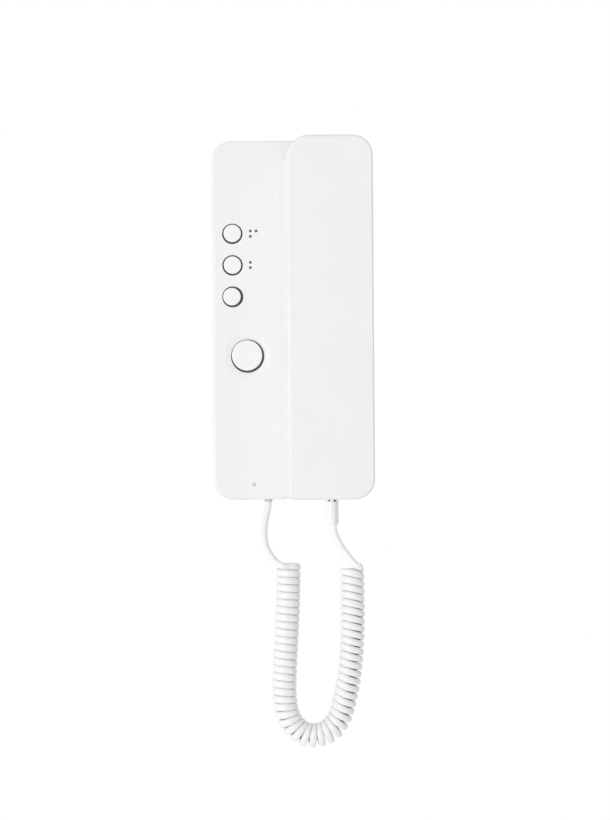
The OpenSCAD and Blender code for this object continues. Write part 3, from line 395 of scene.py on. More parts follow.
# %% Cord route
cord_d = 3.6
coil_d = 13.4
curl_r = (coil_d - cord_d) / 2
turn_total = 49.83
cord_exit = np.array([-14.2, -98.5, 12])
boot_exit = np.array([21.8, -111.5, 33])
base_tail = np.array([
    [-14.7, -105, 12.2], [-15.6, -109, 12.6], [-16.3, -113, 13.3], [-16.6, -117, 14.2],
    [-16.4, -121, 15.5], [-15.5, -125, 17.2], [-13.4, -129, 19.4], [-10.4, -132.8, 21.5]])
handset_tail = np.array([
    [22.9, -118.2, 33.2], [24.3, -121.3, 33.6], [26.2, -124.6, 34.2], [28.6, -128, 34.9],
    [31.2, -131.2, 35.8], [33.8, -134, 36.8]])
coil_axis = np.array([
    [-3.2, -135.6, 18], [-3.6, -155, 19], [-4.6, -175, 20], [-5.7, -195, 21], [-5.7, -208, 22],
    [-4.2, -217, 22.6], [-0.5, -223.5, 23.2], [5, -227.4, 24], [11.5, -228.2, 24.8], [17.8, -226, 25.6],
    [22.6, -221.2, 26.4], [26, -213, 27.4], [29.4, -197, 29], [31.4, -177, 30], [31.8, -157, 30.5],
    [31.6, -136, 31]])


def unit(vectors):
    """Vectors of length 1 with the same headings."""
    return vectors / np.linalg.norm(vectors, axis=-1, keepdims=True)


def smooth_route(points, steps):
    """Smooth curve through the points, a cubic for each pair.

    The slope at a point is half the way from the point before it to the point after it.
    """
    padded = np.concatenate([points[:1], points, points[-1:]])
    a, b, c, d = (padded[k:len(points) - 1 + k, None] for k in range(4))
    t = np.linspace(0, 1, steps, endpoint=False)[None, :, None]
    linear_part = (c - a) * t
    square_part = (2 * a - 5 * b + 4 * c - d) * t ** 2
    cubic_part = (3 * b - a - 3 * c + d) * t ** 3
    curve = b + (linear_part + square_part + cubic_part) / 2
    return np.concatenate([curve.reshape(-1, 3), points[-1:]])


def travelled(points):
    """Distance along a route, from its start to each of its points."""
    return np.concatenate([[0], np.cumsum(np.linalg.norm(np.diff(points, axis=0), axis=1))])


print("tails, mm:", round(travelled(base_tail)[-1]), "and", round(travelled(handset_tail)[-1]))

# %% Curls
AXIS_STEPS = 24
down = np.array([0, -1, 0])
out_of_wall = np.array([0, 0, 1])
# Tilt and lean are in degrees, and the lean sets in over the last lean_turns curls
first_tilt = 5
last_tilt = -7
last_lean = 14
lean_turns = 16
axis = smooth_route(coil_axis, AXIS_STEPS)
axis_run = travelled(axis)
pitch = axis_run[-1] / turn_total
axis_bend = np.gradient(unit(np.gradient(axis, axis_run, axis=0)), axis_run, axis=0)


def along_axis(turns, values):
    """Values that are given along the axis, read after that many turns."""
    return np.column_stack([np.interp(turns, axis_run / pitch, column) for column in values.T])


def curl_frame(turns):
    """Line that each curl winds round, and the way out from it: cos(turn) * front + sin(turn) * across."""
    near = 0.05
    ahead = along_axis(np.minimum(turns + near, turn_total), axis)
    behind = along_axis(np.maximum(turns - near, 0), axis)
    along = unit(ahead - behind)
    tilt = np.radians(first_tilt + (last_tilt - first_tilt) * turns / turn_total)[:, None]
    line = np.cos(tilt) * along + np.sin(tilt) * unit(np.cross(out_of_wall, along))
    lean = np.radians(last_lean * np.clip(1 - (turn_total - turns) / lean_turns, 0, 1))[:, None]
    line = unit(np.cos(lean) * line - np.sin(lean) * out_of_wall)
    across = unit(np.cross(out_of_wall, line))
    whole_turn = 2 * np.pi * turns[:, None]
    return line, np.cos(whole_turn) * np.cross(line, across) + np.sin(whole_turn) * across


print("pitch, mm:", round(pitch, 2))

# %% Cord centreline
POINTS_PER_CURL = 8
RINGS_PER_POINT = 4
curl_turns = np.linspace(0, turn_total, round(turn_total * POINTS_PER_CURL) + 1)
curls = along_axis(curl_turns, axis) + curl_r * curl_frame(curl_turns)[1]
coil_start = curls[0] - cord_d * unit(curls[1] - curls[0])
coil_end = curls[-1] + cord_d * unit(curls[-1] - curls[-2])
lead_in = [cord_exit, cord_exit + cord_d * down, *base_tail, coil_start]
lead_out = [coil_end, *handset_tail[::-1], boot_exit + cord_d * down, boot_exit]
centres = smooth_route(np.concatenate([lead_in, curls, lead_out]), RINGS_PER_POINT)
print("rings:", len(centres), "cord, mm:", round(travelled(centres)[-1]))

# %% [markdown]
# Neighbouring curls press each other flat, as a soft jacket does, and most of all inside the loop's bend.
# The room for a strand is the pitch, and less where the axis bends towards it: pitch * (1 - bend . offset).
# A pressed section is no circle but |c| ** n + |s| ** n = 1: n = 2 is round, and a larger n has flatter
# sides. The leg under the base hangs at rest, tight and flat-sided. From the bend on the cord is pulled,
# so its strands are rounder there, and small gaps open at the front right.

# %% Room for a strand
press_gap = 0.08
first_ring = RINGS_PER_POINT * len(lead_in)
ring_turns = np.linspace(0, turn_total, RINGS_PER_POINT * (len(curls) - 1) + 1)
coil_rings = slice(first_ring, first_ring + len(ring_turns))
ring_line, ring_out = curl_frame(ring_turns)
towards_bend = curl_r * np.sum(along_axis(ring_turns, axis_bend) * ring_out, axis=1)
slope = math.cos(math.atan(pitch / (2 * np.pi * curl_r)))
room = (pitch * slope * (1 - towards_bend) - press_gap) / cord_d
print("room for a strand, in diameters:", round(room.min(), 2), "to", round(room.max(), 2))

# %% Pressed strands
ROUND_POWER = 2
flattest = 0.72
fullest = 1.12
# How far gaps open after so many turns, as a share of the diameter, and to which side
opening_turns = [20, 27, 31, turn_total]
openings = [0, 0.24, 0.2, 0.09]
open_side = np.array([0.9, 0, 0.44])
# The section's power n, up to the first of these turns and from the last one on
power_turns = [14, 24]
powers = [6.5, 2.8]
opening = np.interp(ring_turns, opening_turns, openings) * np.clip(ring_out @ open_side, 0, 1)
thickness = np.ones(len(centres))
thickness[coil_rings] = np.clip(room, flattest, fullest - opening)
press_line = np.zeros((len(centres), 3))
press_line[coil_rings] = ring_line
from_ends = np.clip(np.minimum(ring_turns, turn_total - ring_turns), 0, 1)
power = np.full(len(centres), float(ROUND_POWER))
power[coil_rings] += (np.interp(ring_turns, power_turns, powers) - ROUND_POWER) * from_ends
print("flattest strand:", round(thickness.min(), 2), "of its diameter")

# %% Cord sections
CORD_SIDES = 14
TINY = 1e-9


def carried_sides(points):
    """The heading at each ring, and a side vector that turns only as the path does, so nothing twists."""
    headings = unit(np.gradient(points, axis=0))
    sides = [unit(np.cross(headings[0], out_of_wall))]
    for ahead in headings[1:]:
        sides.append(unit(sides[-1] - ahead * np.dot(ahead, sides[-1])))
    return headings, np.array(sides)


heading, side = carried_sides(centres)
ring_angle = np.linspace(0, 2 * np.pi, CORD_SIDES, endpoint=False)[None, :, None]
offsets = np.cos(ring_angle) * side[:, None] + np.sin(ring_angle) * np.cross(heading, side)[:, None]
press_line -= heading * np.sum(press_line * heading, axis=1, keepdims=True)
press_line /= np.maximum(np.linalg.norm(press_line, axis=1, keepdims=True), TINY)
along_press = np.sum(offsets * press_line[:, None], axis=2)
across_press = np.sqrt(np.maximum(1 - along_press ** 2, 0))
ring_power = power[:, None]
ring_reach = (np.abs(along_press) ** ring_power + across_press ** ring_power) ** (-1 / ring_power)
offsets *= ring_reach[:, :, None]
offsets -= (ring_reach * along_press * (1 - thickness[:, None]))[:, :, None] * press_line[:, None]
print("widest reach of a section:", round(np.linalg.norm(offsets, axis=2).max(), 2), "of its radius")

# %% Cord mesh
cord_points, cord_faces = sheet(centres[:, None] + cord_d / 2 * offsets)
first_end = list(range(CORD_SIDES))
last_end = list(range(len(cord_points) - CORD_SIDES, len(cord_points)))[::-1]
cord_mesh = bpy.data.meshes.new("curly_cord")
cord_mesh.from_pydata(cord_points, [], cord_faces.tolist() + [first_end, last_end])
cord_skin = bmesh.new()
cord_skin.from_mesh(cord_mesh)
bmesh.ops.recalc_face_normals(cord_skin, faces=cord_skin.faces)
cord_skin.to_mesh(cord_mesh)
cord_skin.free()
cord_mesh.shade_smooth()
cord = bpy.data.objects.new("curly_cord", cord_mesh)
bpy.context.scene.collection.objects.link(cord)
cord_mesh.materials.append(cord_pvc)
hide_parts("cord_base_tail", "cord_coil", "cord_handset_tail")
print("cord faces:", len(cord_mesh.polygons))

# %% [markdown]
# The cord follows the base at one end and the handset at the other. Each ring takes its share of the
# lift from its place along the cord, so every curl keeps its section when the handset is lifted. Shares
# by height alone would shear the two legs of the loop, which lie side by side.

# %% Cord between base and handset
still_end = 12
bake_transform(cord, "base", "handset", start=from_wall(cord_exit), end=from_wall(boot_exit))
cord_run = travelled(centres)
lift_share = np.clip((cord_run - still_end) / (cord_run[-1] - 2 * still_end), 0, 1)
point_share = np.repeat(lift_share, CORD_SIDES).astype(np.float32)
cord_mesh.attributes["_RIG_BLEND"].data.foreach_set("value", point_share)
print("still at each end, mm:", still_end)

# %% [markdown]
# ## Plug, boot and grommet
# Under the handset the cord ends in a plug with a boxy white boot. The boot keeps its right side upright
# and draws in on the left. Its front has three facets: a wide bright one on the left, a narrow one in the
# middle, and one on the right that the light leaves darker.
# A box with bevels could give that, but its bevels would all be alike. A rounded polygon has a neat
# formula: along a heading u, each side n.u = d allows a radius d / (n.u), and a high power mean of these
# joins the sides with soft corners.

# %% Level sections
SECTION_STEPS = 64
CORNER_POWER = 16


def section(sides):
    """Rounded polygon round the origin, of sides (n, d): radius = sum((n.u / d) ** p) ** (-1 / p)."""
    angle = np.linspace(0, 2 * np.pi, SECTION_STEPS, endpoint=False)
    u = np.column_stack([np.cos(angle), np.sin(angle)])
    reach = sum(np.maximum(u @ unit(np.array(n, float)) / d, 0) ** CORNER_POWER for n, d in sides)
    return u * (reach ** (-1 / CORNER_POWER))[:, None]


def level(loop, middle, up):
    """A loop laid level, (right, out) from the middle, at one height."""
    return np.column_stack([middle[0] + loop[:, 0], np.full(len(loop), up), middle[1] + loop[:, 1]])


def closed_ends(rows):
    """Rows with each end drawn together at its middle."""
    first, last = (np.broadcast_to(np.mean(rows[k], axis=0), rows[k].shape) for k in (0, -1))
    return [first, *rows, last]


print("points of a level section:", SECTION_STEPS)

# %% Boot sizes
plug_low, plug_high = span("cord_plug")
boot_low = span("cord_boot")[0]
plug_middle = (plug_low + plug_high)[[0, 2]] / 2
plug_half = (plug_high - plug_low)[[0, 2]] / 2
boot_left = 4.0
boot_right = 3.3
boot_taper = 1.7
boot_round = 0.6
boot_gap = 0.1
boot_top = front_low[1] - boot_gap
boot_foot = boot_low[1] + boot_round
ridge_x = -0.7
crease_x = 1.4
# The facets by the way they face, (right, out)
left_facet = (-0.5, 0.87)
front_facet = (0.25, 0.97)
right_facet = (0.87, 0.5)


def boot_section(share, inset):
    """The boot's section at a share of its length: flat sides, and facets that meet at ridge and crease.

    The left side draws in by boot_taper * share ** 3.
    """
    left = boot_left - boot_taper * share ** 3 - inset
    ridge = np.array([ridge_x, plug_half[1] - inset])
    crease = ridge + (crease_x - ridge_x) * np.array([1, -front_facet[0] / front_facet[1]])
    facets = [(left_facet, ridge), (front_facet, ridge), (right_facet, crease)]
    flats = [((1, 0), boot_right - inset), ((-1, 0), left), ((0, -1), plug_half[1] - inset)]
    return section(flats + [(facet, unit(np.array(facet)) @ edge) for facet, edge in facets])


print("boot, mm:", round(boot_left + boot_right, 1), "wide,", round(boot_top - boot_low[1], 1), "long")

# %% Boot and plug
BOOT_STEPS = 12
plug_gap = 0.2
boot_rows = [level(boot_section(share, 0), plug_middle, boot_top + share * (boot_foot - boot_top))
             for share in np.linspace(0, 1, BOOT_STEPS + 1)]
boot_rows += [level(boot_section(1, inset), plug_middle, boot_low[1] + drop)
              for inset, drop in rounding(boot_round, steps=5)[1:]]
boot = piece("cord_boot_sleeve", [sheet(closed_ends(boot_rows))], "handset", boot_pvc,
             ["cord_boot"])
plug_sides = [((1, 0), plug_half[0]), ((-1, 0), plug_half[0]),
              ((0, 1), plug_half[1]), ((0, -1), plug_half[1])]
plug_rows = [level(section(plug_sides), plug_middle, up) for up in (front_low[1] + plug_gap, plug_high[1])]
plug = piece("cord_plug_body", [sheet(closed_ends(plug_rows))], "handset", clear_pc,
             ["cord_plug"])

# %% [markdown]
# Two small dark points in the boot's collar are shade in the openings beside the plug's latch.
# Cutting them out would leave nothing dark behind them, so each is a small turned eyelet set into the
# boot, in a dark grey that paints that shade.

# %% Boot windows
window_drop = 1.05
window_rim = 0.1
window_depth = 1.6
left_window = {"aside": -1.75, "radius": 0.55, "sunk": 0.2}
right_window = {"aside": 1.2, "radius": 0.7, "sunk": 0.1}
boot_front = plug_middle[1] + plug_half[1]


def window(aside, radius, sunk):
    """A turned eyelet: a stud that starts inside the boot, with a thin rim and a shallow dished middle."""
    front = boot_front - sunk
    back = front - window_depth
    stud = [(0, back), (radius, back), (radius, front), (radius - window_rim, front)]
    dish = [(radius - 2 * window_rim, front - window_rim), (0, front - 2 * window_rim)]
    return bore((plug_middle[0] + aside, front_low[1] - window_drop), stud + dish, SMALL_STEPS)


# The eyelets' dark grey is painted shade
windows = piece("cord_boot_windows_painted_shade", [window(**left_window), window(**right_window)],
                "handset", window_painted_shade)

# %% [markdown]
# The grommet is a soft grey bush in the base's bottom wall, which keeps the cord from chafing. Only its
# thin lip shows, as a line across the cord. A torus could stand for the lip, but the whole bush is as easy:
# it is one profile turned about the cord's first, upright stretch.

# %% Grommet
BUSH_STEPS = 48
grommet_low, grommet_high = span("cord_grommet")
lip_drop = 1.8
lip_edge_r = 0.25
flange_t = 1.5
neck_wall = 0.4
neck_r = cord_d / 2 + neck_wall
core_r = 1.1
flange_r = (grommet_high - grommet_low)[0] / 2
flange_top = grommet_high[1]
lip = cover_low[1] - lip_drop
bush_profile = [(core_r, flange_top), (flange_r, flange_top), (flange_r, flange_top - flange_t),
                (neck_r, flange_top - flange_t)]
bush_profile += [(neck_r - inset, lip + drop) for inset, drop in rounding(lip_edge_r, steps=4)]
bush_profile += [(core_r, lip), (core_r, flange_top)]
bush_ring = circle((0, 0), 1, BUSH_STEPS)
bush_rows = [level(radius * bush_ring, cord_exit[[0, 2]], up) for radius, up in bush_profile]
piece("cord_grommet_bush", [sheet(bush_rows)], "base", grommet_pvc, ["cord_grommet"])

# %% [markdown]
# ## Front cover
# The cover is one injection moulding: a raised button panel on the left with a soft front edge, and a
# lower cradle on the right that the handset hides. Two blocks could stand for it, but then its holes and
# slots would have nothing behind them. So it is drawn as walls, faces and holes that share their borders,
# with the hollow behind, and is a real shell.

# %% Cover sizes
half_w, half_h = cover_high[0], cover_high[1]
corner_r = 11
cover_wall = 2.2
rim = cover_low[2]
panel_out = cover_high[2]
panel_edge_r = 1.8
panel_end_share = 0.5
cradle_gap = 0.4
cradle_side_gap = 0.6
cradle_out = rear_low[2] - cradle_gap
cradle_edge_r = 0.5
cradle_x = rear_low[0] - cradle_side_gap
handset_left_r = 16
flank_overlap = rear_low[0] - front_low[0]
panel_inside = panel_out - cover_wall
cradle_inside = cradle_out - cover_wall


def half_outline(side, inset, edge, end_share=1):
    """The base's left (side -1) or right (side 1) outline from x = edge.

    It is drawn in by inset at the side, and by end_share of that at the top and foot.
    """
    angle = np.linspace(0, np.pi / 2, ARC_STEPS + 1)
    x = side * (half_w - corner_r + (corner_r - inset) * np.sin(angle))
    y = half_h - corner_r + (corner_r - end_share * inset) * np.cos(angle)
    upper = np.column_stack([np.append(edge, x), np.append(half_h - end_share * inset, y)])
    return np.concatenate([upper, upper[::-1] * [1, -1]])


print("panel, mm out:", round(panel_out, 1), "cradle, mm out:", round(cradle_out, 1))

# %% [markdown]
# Keys hang a little loose in their holes. Each one lies a fraction of a millimetre off the middle, so the
# dark line round it is thicker on one side. The holes need these places, so they are settled first.

# %% Buttons' places
flange_reach = 1.7
# The gap round each cap, and how far the cap lies off its hole's middle, in mm
key_fits = {
    "upper_button": {"gap": 0.8, "aside": (-0.05, 0.25)},
    "middle_button": {"gap": 0.82, "aside": (-0.03, 0.14)},
    "lower_button": {"gap": 0.95, "aside": (-0.42, 0.08)},
    "door_button": {"gap": 0.8, "aside": (-0.28, 0.4)},
}
buttons = {}
for name, fit in key_fits.items():
    key_low, key_high = span(name)
    key_flange_r = (key_high - key_low)[0] / 2
    buttons[name] = {
        "centre": (key_low + key_high)[:2] / 2, "foot": key_low[2], "top": key_high[2],
        "flange_r": key_flange_r, "cap_r": key_flange_r - flange_reach, **fit}
    print(name, "at", np.round(buttons[name]["centre"], 1), "hole gap, mm:", fit["gap"])

# %% Cover skin
panel_rows = [(0, rim), (0, cradle_out - cradle_edge_r)]
panel_rows += [(inset, panel_out - drop) for inset, drop in rounding(panel_edge_r)]
cradle_rows = [(0, rim)]
cradle_rows += [(inset, cradle_out - drop) for inset, drop in rounding(cradle_edge_r, steps=3)]
inner_x = cradle_x - cover_wall
inner_h = half_h - cover_wall
panel_face = half_outline(-1, panel_edge_r, cradle_x, panel_end_share)
cradle_face = half_outline(1, cradle_edge_r, cradle_x)
panel_ceiling = half_outline(-1, cover_wall, inner_x)
cradle_ceiling = half_outline(1, cover_wall, inner_x)
cradle_end = [(half_h - inset, out) for inset, out in cradle_rows[:0:-1]]
panel_end = [(half_h - panel_end_share * inset, out) for inset, out in panel_rows[2:]]
step_end = np.array(cradle_end + panel_end)
step_wall = np.concatenate([step_end, step_end[::-1] * [-1, 1]])
inner_step = np.array([
    [inner_h, cradle_inside], [inner_h, panel_inside], [-inner_h, panel_inside], [-inner_h, cradle_inside]])


def upright(x):
    """Places flat points (up, out) on the upright plane at x."""
    return lambda points: np.column_stack([np.full(len(points), x), points])


cover_patches = [
    sheet([lift(half_outline(-1, inset, cradle_x, panel_end_share), out) for inset, out in panel_rows],
          around=False),
    sheet([lift(half_outline(1, inset, cradle_x), out) for inset, out in cradle_rows], around=False),
    plate(step_wall, [], upright(cradle_x)),
    sheet([lift(panel_ceiling, out) for out in (rim, cradle_inside, panel_inside)], around=False),
    sheet([lift(cradle_ceiling, out) for out in (rim, cradle_inside)], around=False),
    plate(inner_step, [], upright(inner_x)),
    sheet([lift(half_outline(-1, 0, cradle_x), rim), lift(panel_ceiling, rim)], around=False),
    sheet([lift(half_outline(1, 0, cradle_x), rim), lift(cradle_ceiling, rim)], around=False),
]
print("cover patches so far:", len(cover_patches))

# %% [markdown]
# At the top the panel reaches into the cradle's corner. Its edge follows the handset's round corner there
# with a small gap, so that nothing dark shows between the two. That part is a small prism of its own,
# and it overlaps the panel by a hair instead of sharing its border.

# %% Cradle's round corner
CORNER_STEPS = 14
corner_tuck = 0.02
corner_share = 0.55
tray_r = handset_left_r - flank_overlap
recess_r = tray_r + cradle_side_gap
recess_centre = np.array([rear_low[0] + tray_r, rear_high[1] - tray_r])
corner_end = cradle_x + corner_share * tray_r


def corner_loop(inset):
    """The panel's part in the corner: its top edge, drawn in, and an arc about the recess's centre."""
    top = half_h - panel_end_share * inset
    at_end = np.arccos((corner_end - recess_centre[0]) / recess_r)
    at_top = np.pi - np.arcsin((top - recess_centre[1]) / recess_r)
    angle = np.linspace(max(at_end, at_top), np.pi, CORNER_STEPS)
    arc = recess_centre + recess_r * np.column_stack([np.cos(angle), np.sin(angle)])
    arc[-1, 0] -= corner_tuck
    return np.concatenate([[[cradle_x - corner_tuck, top], [arc[0, 0], top]], arc])


corner_rows = [(0, cradle_out), *panel_rows[2:]]
cover_patches += [
    sheet([lift(corner_loop(inset), out) for inset, out in corner_rows]),
    flat_plate(corner_loop(0), [], cradle_out),
    flat_plate(corner_loop(panel_edge_r), [], panel_out)]
print("panel reaches over the cradle, mm:", round(corner_end - cradle_x, 1))

# %% [markdown]
# The door button sits in a shallow dish, which is part of a large sphere. The three small buttons have
# plain round holes. Each hole has a small rounding at its edge, as moulded holes do, which catches the
# light. A hole is a profile turned about its middle, from the panel's face to its inside.

# %% Panel holes
DISH_STEPS = 9
hole_lead = 0.25
dish_r = 12.5
dish_depth = 1.7
dish_ball = (dish_r ** 2 + dish_depth ** 2) / (2 * dish_depth)
pipe_low, pipe_high = span("light_pipe")
pipe_centre = (pipe_low + pipe_high)[:2] / 2
pipe_hole_r = 0.9


def dish_drop(radius):
    """How far the dish lies behind the panel: sqrt(R ** 2 - r ** 2) - (R - depth)."""
    return np.sqrt(dish_ball ** 2 - radius ** 2) - (dish_ball - dish_depth)


panel_cuts = []
ceiling_cuts = []
for name, button in buttons.items():
    hole_r = button["cap_r"] + button["gap"]
    is_door = name == "door_button"
    face_out = panel_out - (dish_drop(hole_r + hole_lead) if is_door else 0)
    hole = [(hole_r + inset, face_out - drop) for inset, drop in rounding(hole_lead, steps=4)[::-1]]
    hole.append((hole_r, panel_inside))
    if is_door:
        dish_radii = np.linspace(dish_r, hole_r + hole_lead, DISH_STEPS + 1)[:-1]
        hole = [(r, panel_out - dish_drop(r)) for r in dish_radii] + hole
    cover_patches.append(bore(button["centre"], hole))
    panel_cuts.append(circle(button["centre"], hole[0][0]))
    ceiling_cuts.append(circle(button["centre"], hole_r))
cover_patches.append(bore(pipe_centre, [(pipe_hole_r, panel_out), (pipe_hole_r, panel_inside)]))
pipe_cut = circle(pipe_centre, pipe_hole_r)
cover_patches += [
    flat_plate(panel_face, panel_cuts + [pipe_cut], panel_out),
    flat_plate(panel_ceiling, ceiling_cuts + [pipe_cut], panel_inside)]
print("panel holes:", len(panel_cuts) + 1)

# %% [markdown]
# Under the handset the cradle has two round bosses that fill the ear and mouth cups, a slot for the hook
# lever's nose, and five slots that let the call tone out. Bosses are turned profiles like the holes, and
# slots are outlines carried straight through the wall.

# %% Cradle
receiver_low, receiver_high = span("receiver_capsule")
microphone_low, microphone_high = span("microphone_capsule")
ear = (receiver_low + receiver_high)[:2] / 2
mouth = (microphone_low + microphone_high)[:2] / 2
ear_boss_r = 17
mouth_boss_r = 12
boss_h = 3
boss_edge_r = 0.8
boss_foot_r = 0.5
boss_top = cradle_out + boss_h
cradle_cuts = []
for centre, boss_r in ((ear, ear_boss_r), (mouth, mouth_boss_r)):
    boss_foot = [(boss_r + drop, cradle_out + inset) for inset, drop in rounding(boss_foot_r, steps=4)]
    boss_edge = [(boss_r - inset, boss_top - drop) for inset, drop in rounding(boss_edge_r, steps=5)]
    cover_patches.append(bore(centre, boss_foot + boss_edge + [(0, boss_top)]))
    cradle_cuts.append(circle(centre, boss_r + boss_foot_r))
print("ear at", np.round(ear, 1), "mouth at", np.round(mouth, 1))

# %% Cradle slots
hook_low, hook_high = span("hook_lever")
hook_gap = 0.6
hook_slot_spare = 2
hook_slot_drop = 17
hook_corner_r = 0.8
hook_slot = outline(hook_low[0] - hook_gap, hook_high[0] + hook_gap,
                    hook_low[1] - hook_slot_spare, hook_high[1] - hook_slot_drop, [hook_corner_r] * 4)
ringer_low, ringer_high = span("ringer_speaker")
ringer = (ringer_low + ringer_high)[:2] / 2
slot_length = 22
slot_width = 2.2
slot_pitch = 5
sound_slots = [slot_outline(ringer + [0, slot_pitch * k], slot_length, slot_width) for k in range(-2, 3)]
cradle_slots = [hook_slot, *sound_slots]
cover_patches += [sheet([lift(slot, cradle_out), lift(slot, cradle_inside)]) for slot in cradle_slots]
cover_patches += [
    flat_plate(cradle_face, cradle_cuts + cradle_slots, cradle_out),
    flat_plate(cradle_ceiling, cradle_slots, cradle_inside)]
piece("front_cover_moulding", cover_patches, "base", cover_abs, ["front_cover"])

# %% [markdown]
# ## Buttons
# Each button is a turned shape: a white cap with a rounded edge and a slight crown, on a skirt with
# the stem and the flange that keeps it behind the panel. The crown makes a moulded key look round under
# soft light. The skirt's mid grey is painted shade, which makes the line round each key so dark.

# %% Button caps
CROWN_STEPS = 8
cap_edge_r = 0.5
cap_crown = 0.2
stem_r = 2.5
key_flange_t = 1.2
key_flange_gap = 0.6
key_flange_top = panel_inside - key_flange_gap
key_flange_low = key_flange_top - key_flange_t
skirt_inset = 0.1
skirt_depth = 1.2
skirt_top = panel_out - skirt_depth
for name, button in buttons.items():
    cap_r, top = button["cap_r"], button["top"]
    flat_r = cap_r - cap_edge_r
    crown_radii = flat_r * np.cos(np.linspace(0, np.pi / 2, CROWN_STEPS + 1))[1:]
    key_middle = button["centre"] + button["aside"]
    skirt = [(0, button["foot"]), (stem_r, button["foot"]), (stem_r, key_flange_low),
             (button["flange_r"], key_flange_low), (button["flange_r"], key_flange_top),
             (cap_r - skirt_inset, key_flange_top), (cap_r - skirt_inset, skirt_top), (0, skirt_top)]
    cap = [(0, skirt_top), (cap_r, skirt_top)]
    cap += [(cap_r - inset, top - cap_crown - drop) for inset, drop in rounding(cap_edge_r, steps=6)]
    cap += [(max(r, 0), top - cap_crown * (r / flat_r) ** 2) for r in crown_radii]
    piece(name + "_cap", [bore(key_middle, cap)], name, button_abs, [name])
    # The skirt's grey is painted shade: it darkens the narrow gap round the cap
    piece(name + "_skirt", [bore(key_middle, skirt)], name, skirt_painted_shade)

# %% [markdown]
# Small printed dots mark the upper two buttons: three beside the first and two beside the second.
# Ink is a few hundredths of a millimetre thick. A pattern in the cover's finish could draw the dots, but a
# thin disc with a soft edge keeps them crisp and gives them a finish of their own.

# %% Printed dots
dot_r = 0.8
ink_t = 0.03
dots = [(-22.7, 49.0), (-19.55, 49.0), (-22.7, 46.0), (-22.8, 31.75), (-22.8, 28.9)]
dot_profile = [(0, panel_out - ink_t), (dot_r, panel_out - ink_t), (dot_r, panel_out),
               (dot_r - ink_t, panel_out + ink_t), (0, panel_out + ink_t)]
piece("printed_dots", [bore(dot, dot_profile, SMALL_STEPS) for dot in dots], "base", ink)

# %% [markdown]
# ## Handset
# The front half is a long shell whose left flank leans in, more and more towards the front, so that the
# light on it rises softly up to the face. A bevelled box would show a hard line there.
# Its surface is one grid: outlines that change with the distance from the wall, from the hollow inside,
# over the rim, up the flank, round the front edge and across a slightly crowned face to a line along its
# middle.

# %% Handset outlines
parting = front_low[2]
handset_out = front_high[2]
tray_x = rear_low[0]
flank_width = 5.4
handset_foot_r = 3
handset_edge_r = 2
right_edge_share = 0.55
shell_wall = 2
spine_end = 25
face_shift = flank_width - handset_edge_r
spine_x = (front_low[0] + face_shift + half_w) / 2


def handset_outline(shift, inset, right_share=1):
    """The handset's outline, its left side moved in by shift and the whole drawn in by inset.

    right_share is the share of the inset that the right side takes.
    """
    radii = np.array([handset_left_r - shift, handset_foot_r, corner_r, corner_r]) - inset
    left = front_low[0] + shift + inset
    right = half_w - right_share * inset
    return outline(left, right, front_low[1] + inset, front_high[1] - inset, radii)


def towards_spine(loop, share):
    """The loop drawn in towards the face's middle line; share 1 is the loop and 0 the line."""
    spine_y = np.clip(loop[:, 1], front_low[1] + spine_end, front_high[1] - spine_end)
    spine = np.column_stack([np.full(len(loop), spine_x), spine_y])
    return spine + share * (loop - spine)


print("face starts, mm from the flank's foot:", flank_width)

# %% Handset front
FLANK_STEPS = 6
EDGE_STEPS = 10
FACE_STEPS = 8
parting_break = 0.12
face_crown = 0.1
hollow_taper = handset_edge_r / 3
flank_curve = 0.64
flank_rest = 0.26
rest_blend = 0.5
flank_low = parting + parting_break
flank_high = handset_out - face_crown


def flank_shift(out):
    """How far the flank has leaned in at a distance from the wall: width * (1 - (1 - share) ** curve)."""
    share = (out - flank_low) / (flank_high - flank_low)
    return flank_width * (1 - np.maximum(1 - share, 0) ** flank_curve)


def flank_foot(loop, out):
    """The loop lifted to a distance, and sunk by flank_rest where the flank lies over the panel."""
    return lift(loop, out - np.interp(loop[:, 0], [tray_x - rest_blend, tray_x], [flank_rest, 0]))


inside_face = handset_outline(face_shift, shell_wall + hollow_taper)
outside_face = handset_outline(face_shift, handset_edge_r, right_edge_share)
front_rows = [lift(towards_spine(inside_face, share), handset_out - shell_wall) for share in (0, 1)]
front_rows += [lift(handset_outline(flank_overlap, shell_wall), parting),
               flank_foot(handset_outline(0, parting_break), parting),
               flank_foot(handset_outline(0, 0), flank_low)]
front_rows += [lift(handset_outline(flank_shift(out), 0), out)
               for out in np.linspace(flank_low, flank_high - handset_edge_r, FLANK_STEPS + 1)[1:-1]]
front_rows += [lift(handset_outline(flank_shift(flank_high - drop) - inset, inset, right_edge_share),
                    flank_high - drop) for inset, drop in rounding(handset_edge_r, EDGE_STEPS)]
front_rows += [lift(towards_spine(outside_face, share), handset_out - face_crown * share ** 2)
               for share in np.linspace(1, 0, FACE_STEPS + 1)[1:]]
piece("handset_front_moulding", [sheet(front_rows)], "handset", handset_abs,
      ["handset_front_shell"])

# %% [markdown]
# The rear half lies in the cradle. It has a cup for the ear and one for the mouth, each with its sound
# holes, and two deep recesses for the screws that hold the halves together. It only shows when the handset
# is lifted, but then from close by, so it is a shell with real holes as the cover is.

# %% Handset rear
rear_out = rear_low[2]
rear_edge_r = 0.8
rear_inside = rear_out + shell_wall


def tray_outline(inset):
    """The rear half's outline, inside the cradle."""
    return handset_outline(flank_overlap, inset)


rear_rows = [lift(tray_outline(inset), rear_out + drop)
             for inset, drop in rounding(rear_edge_r, steps=5)[::-1]]
rear_rows += [lift(tray_outline(0), parting - parting_break), lift(tray_outline(parting_break), parting),
              lift(tray_outline(shell_wall), parting), lift(tray_outline(shell_wall), rear_inside)]
rear_patches = [sheet(rear_rows)]
print("rear half, mm deep:", round(parting - rear_out, 1))

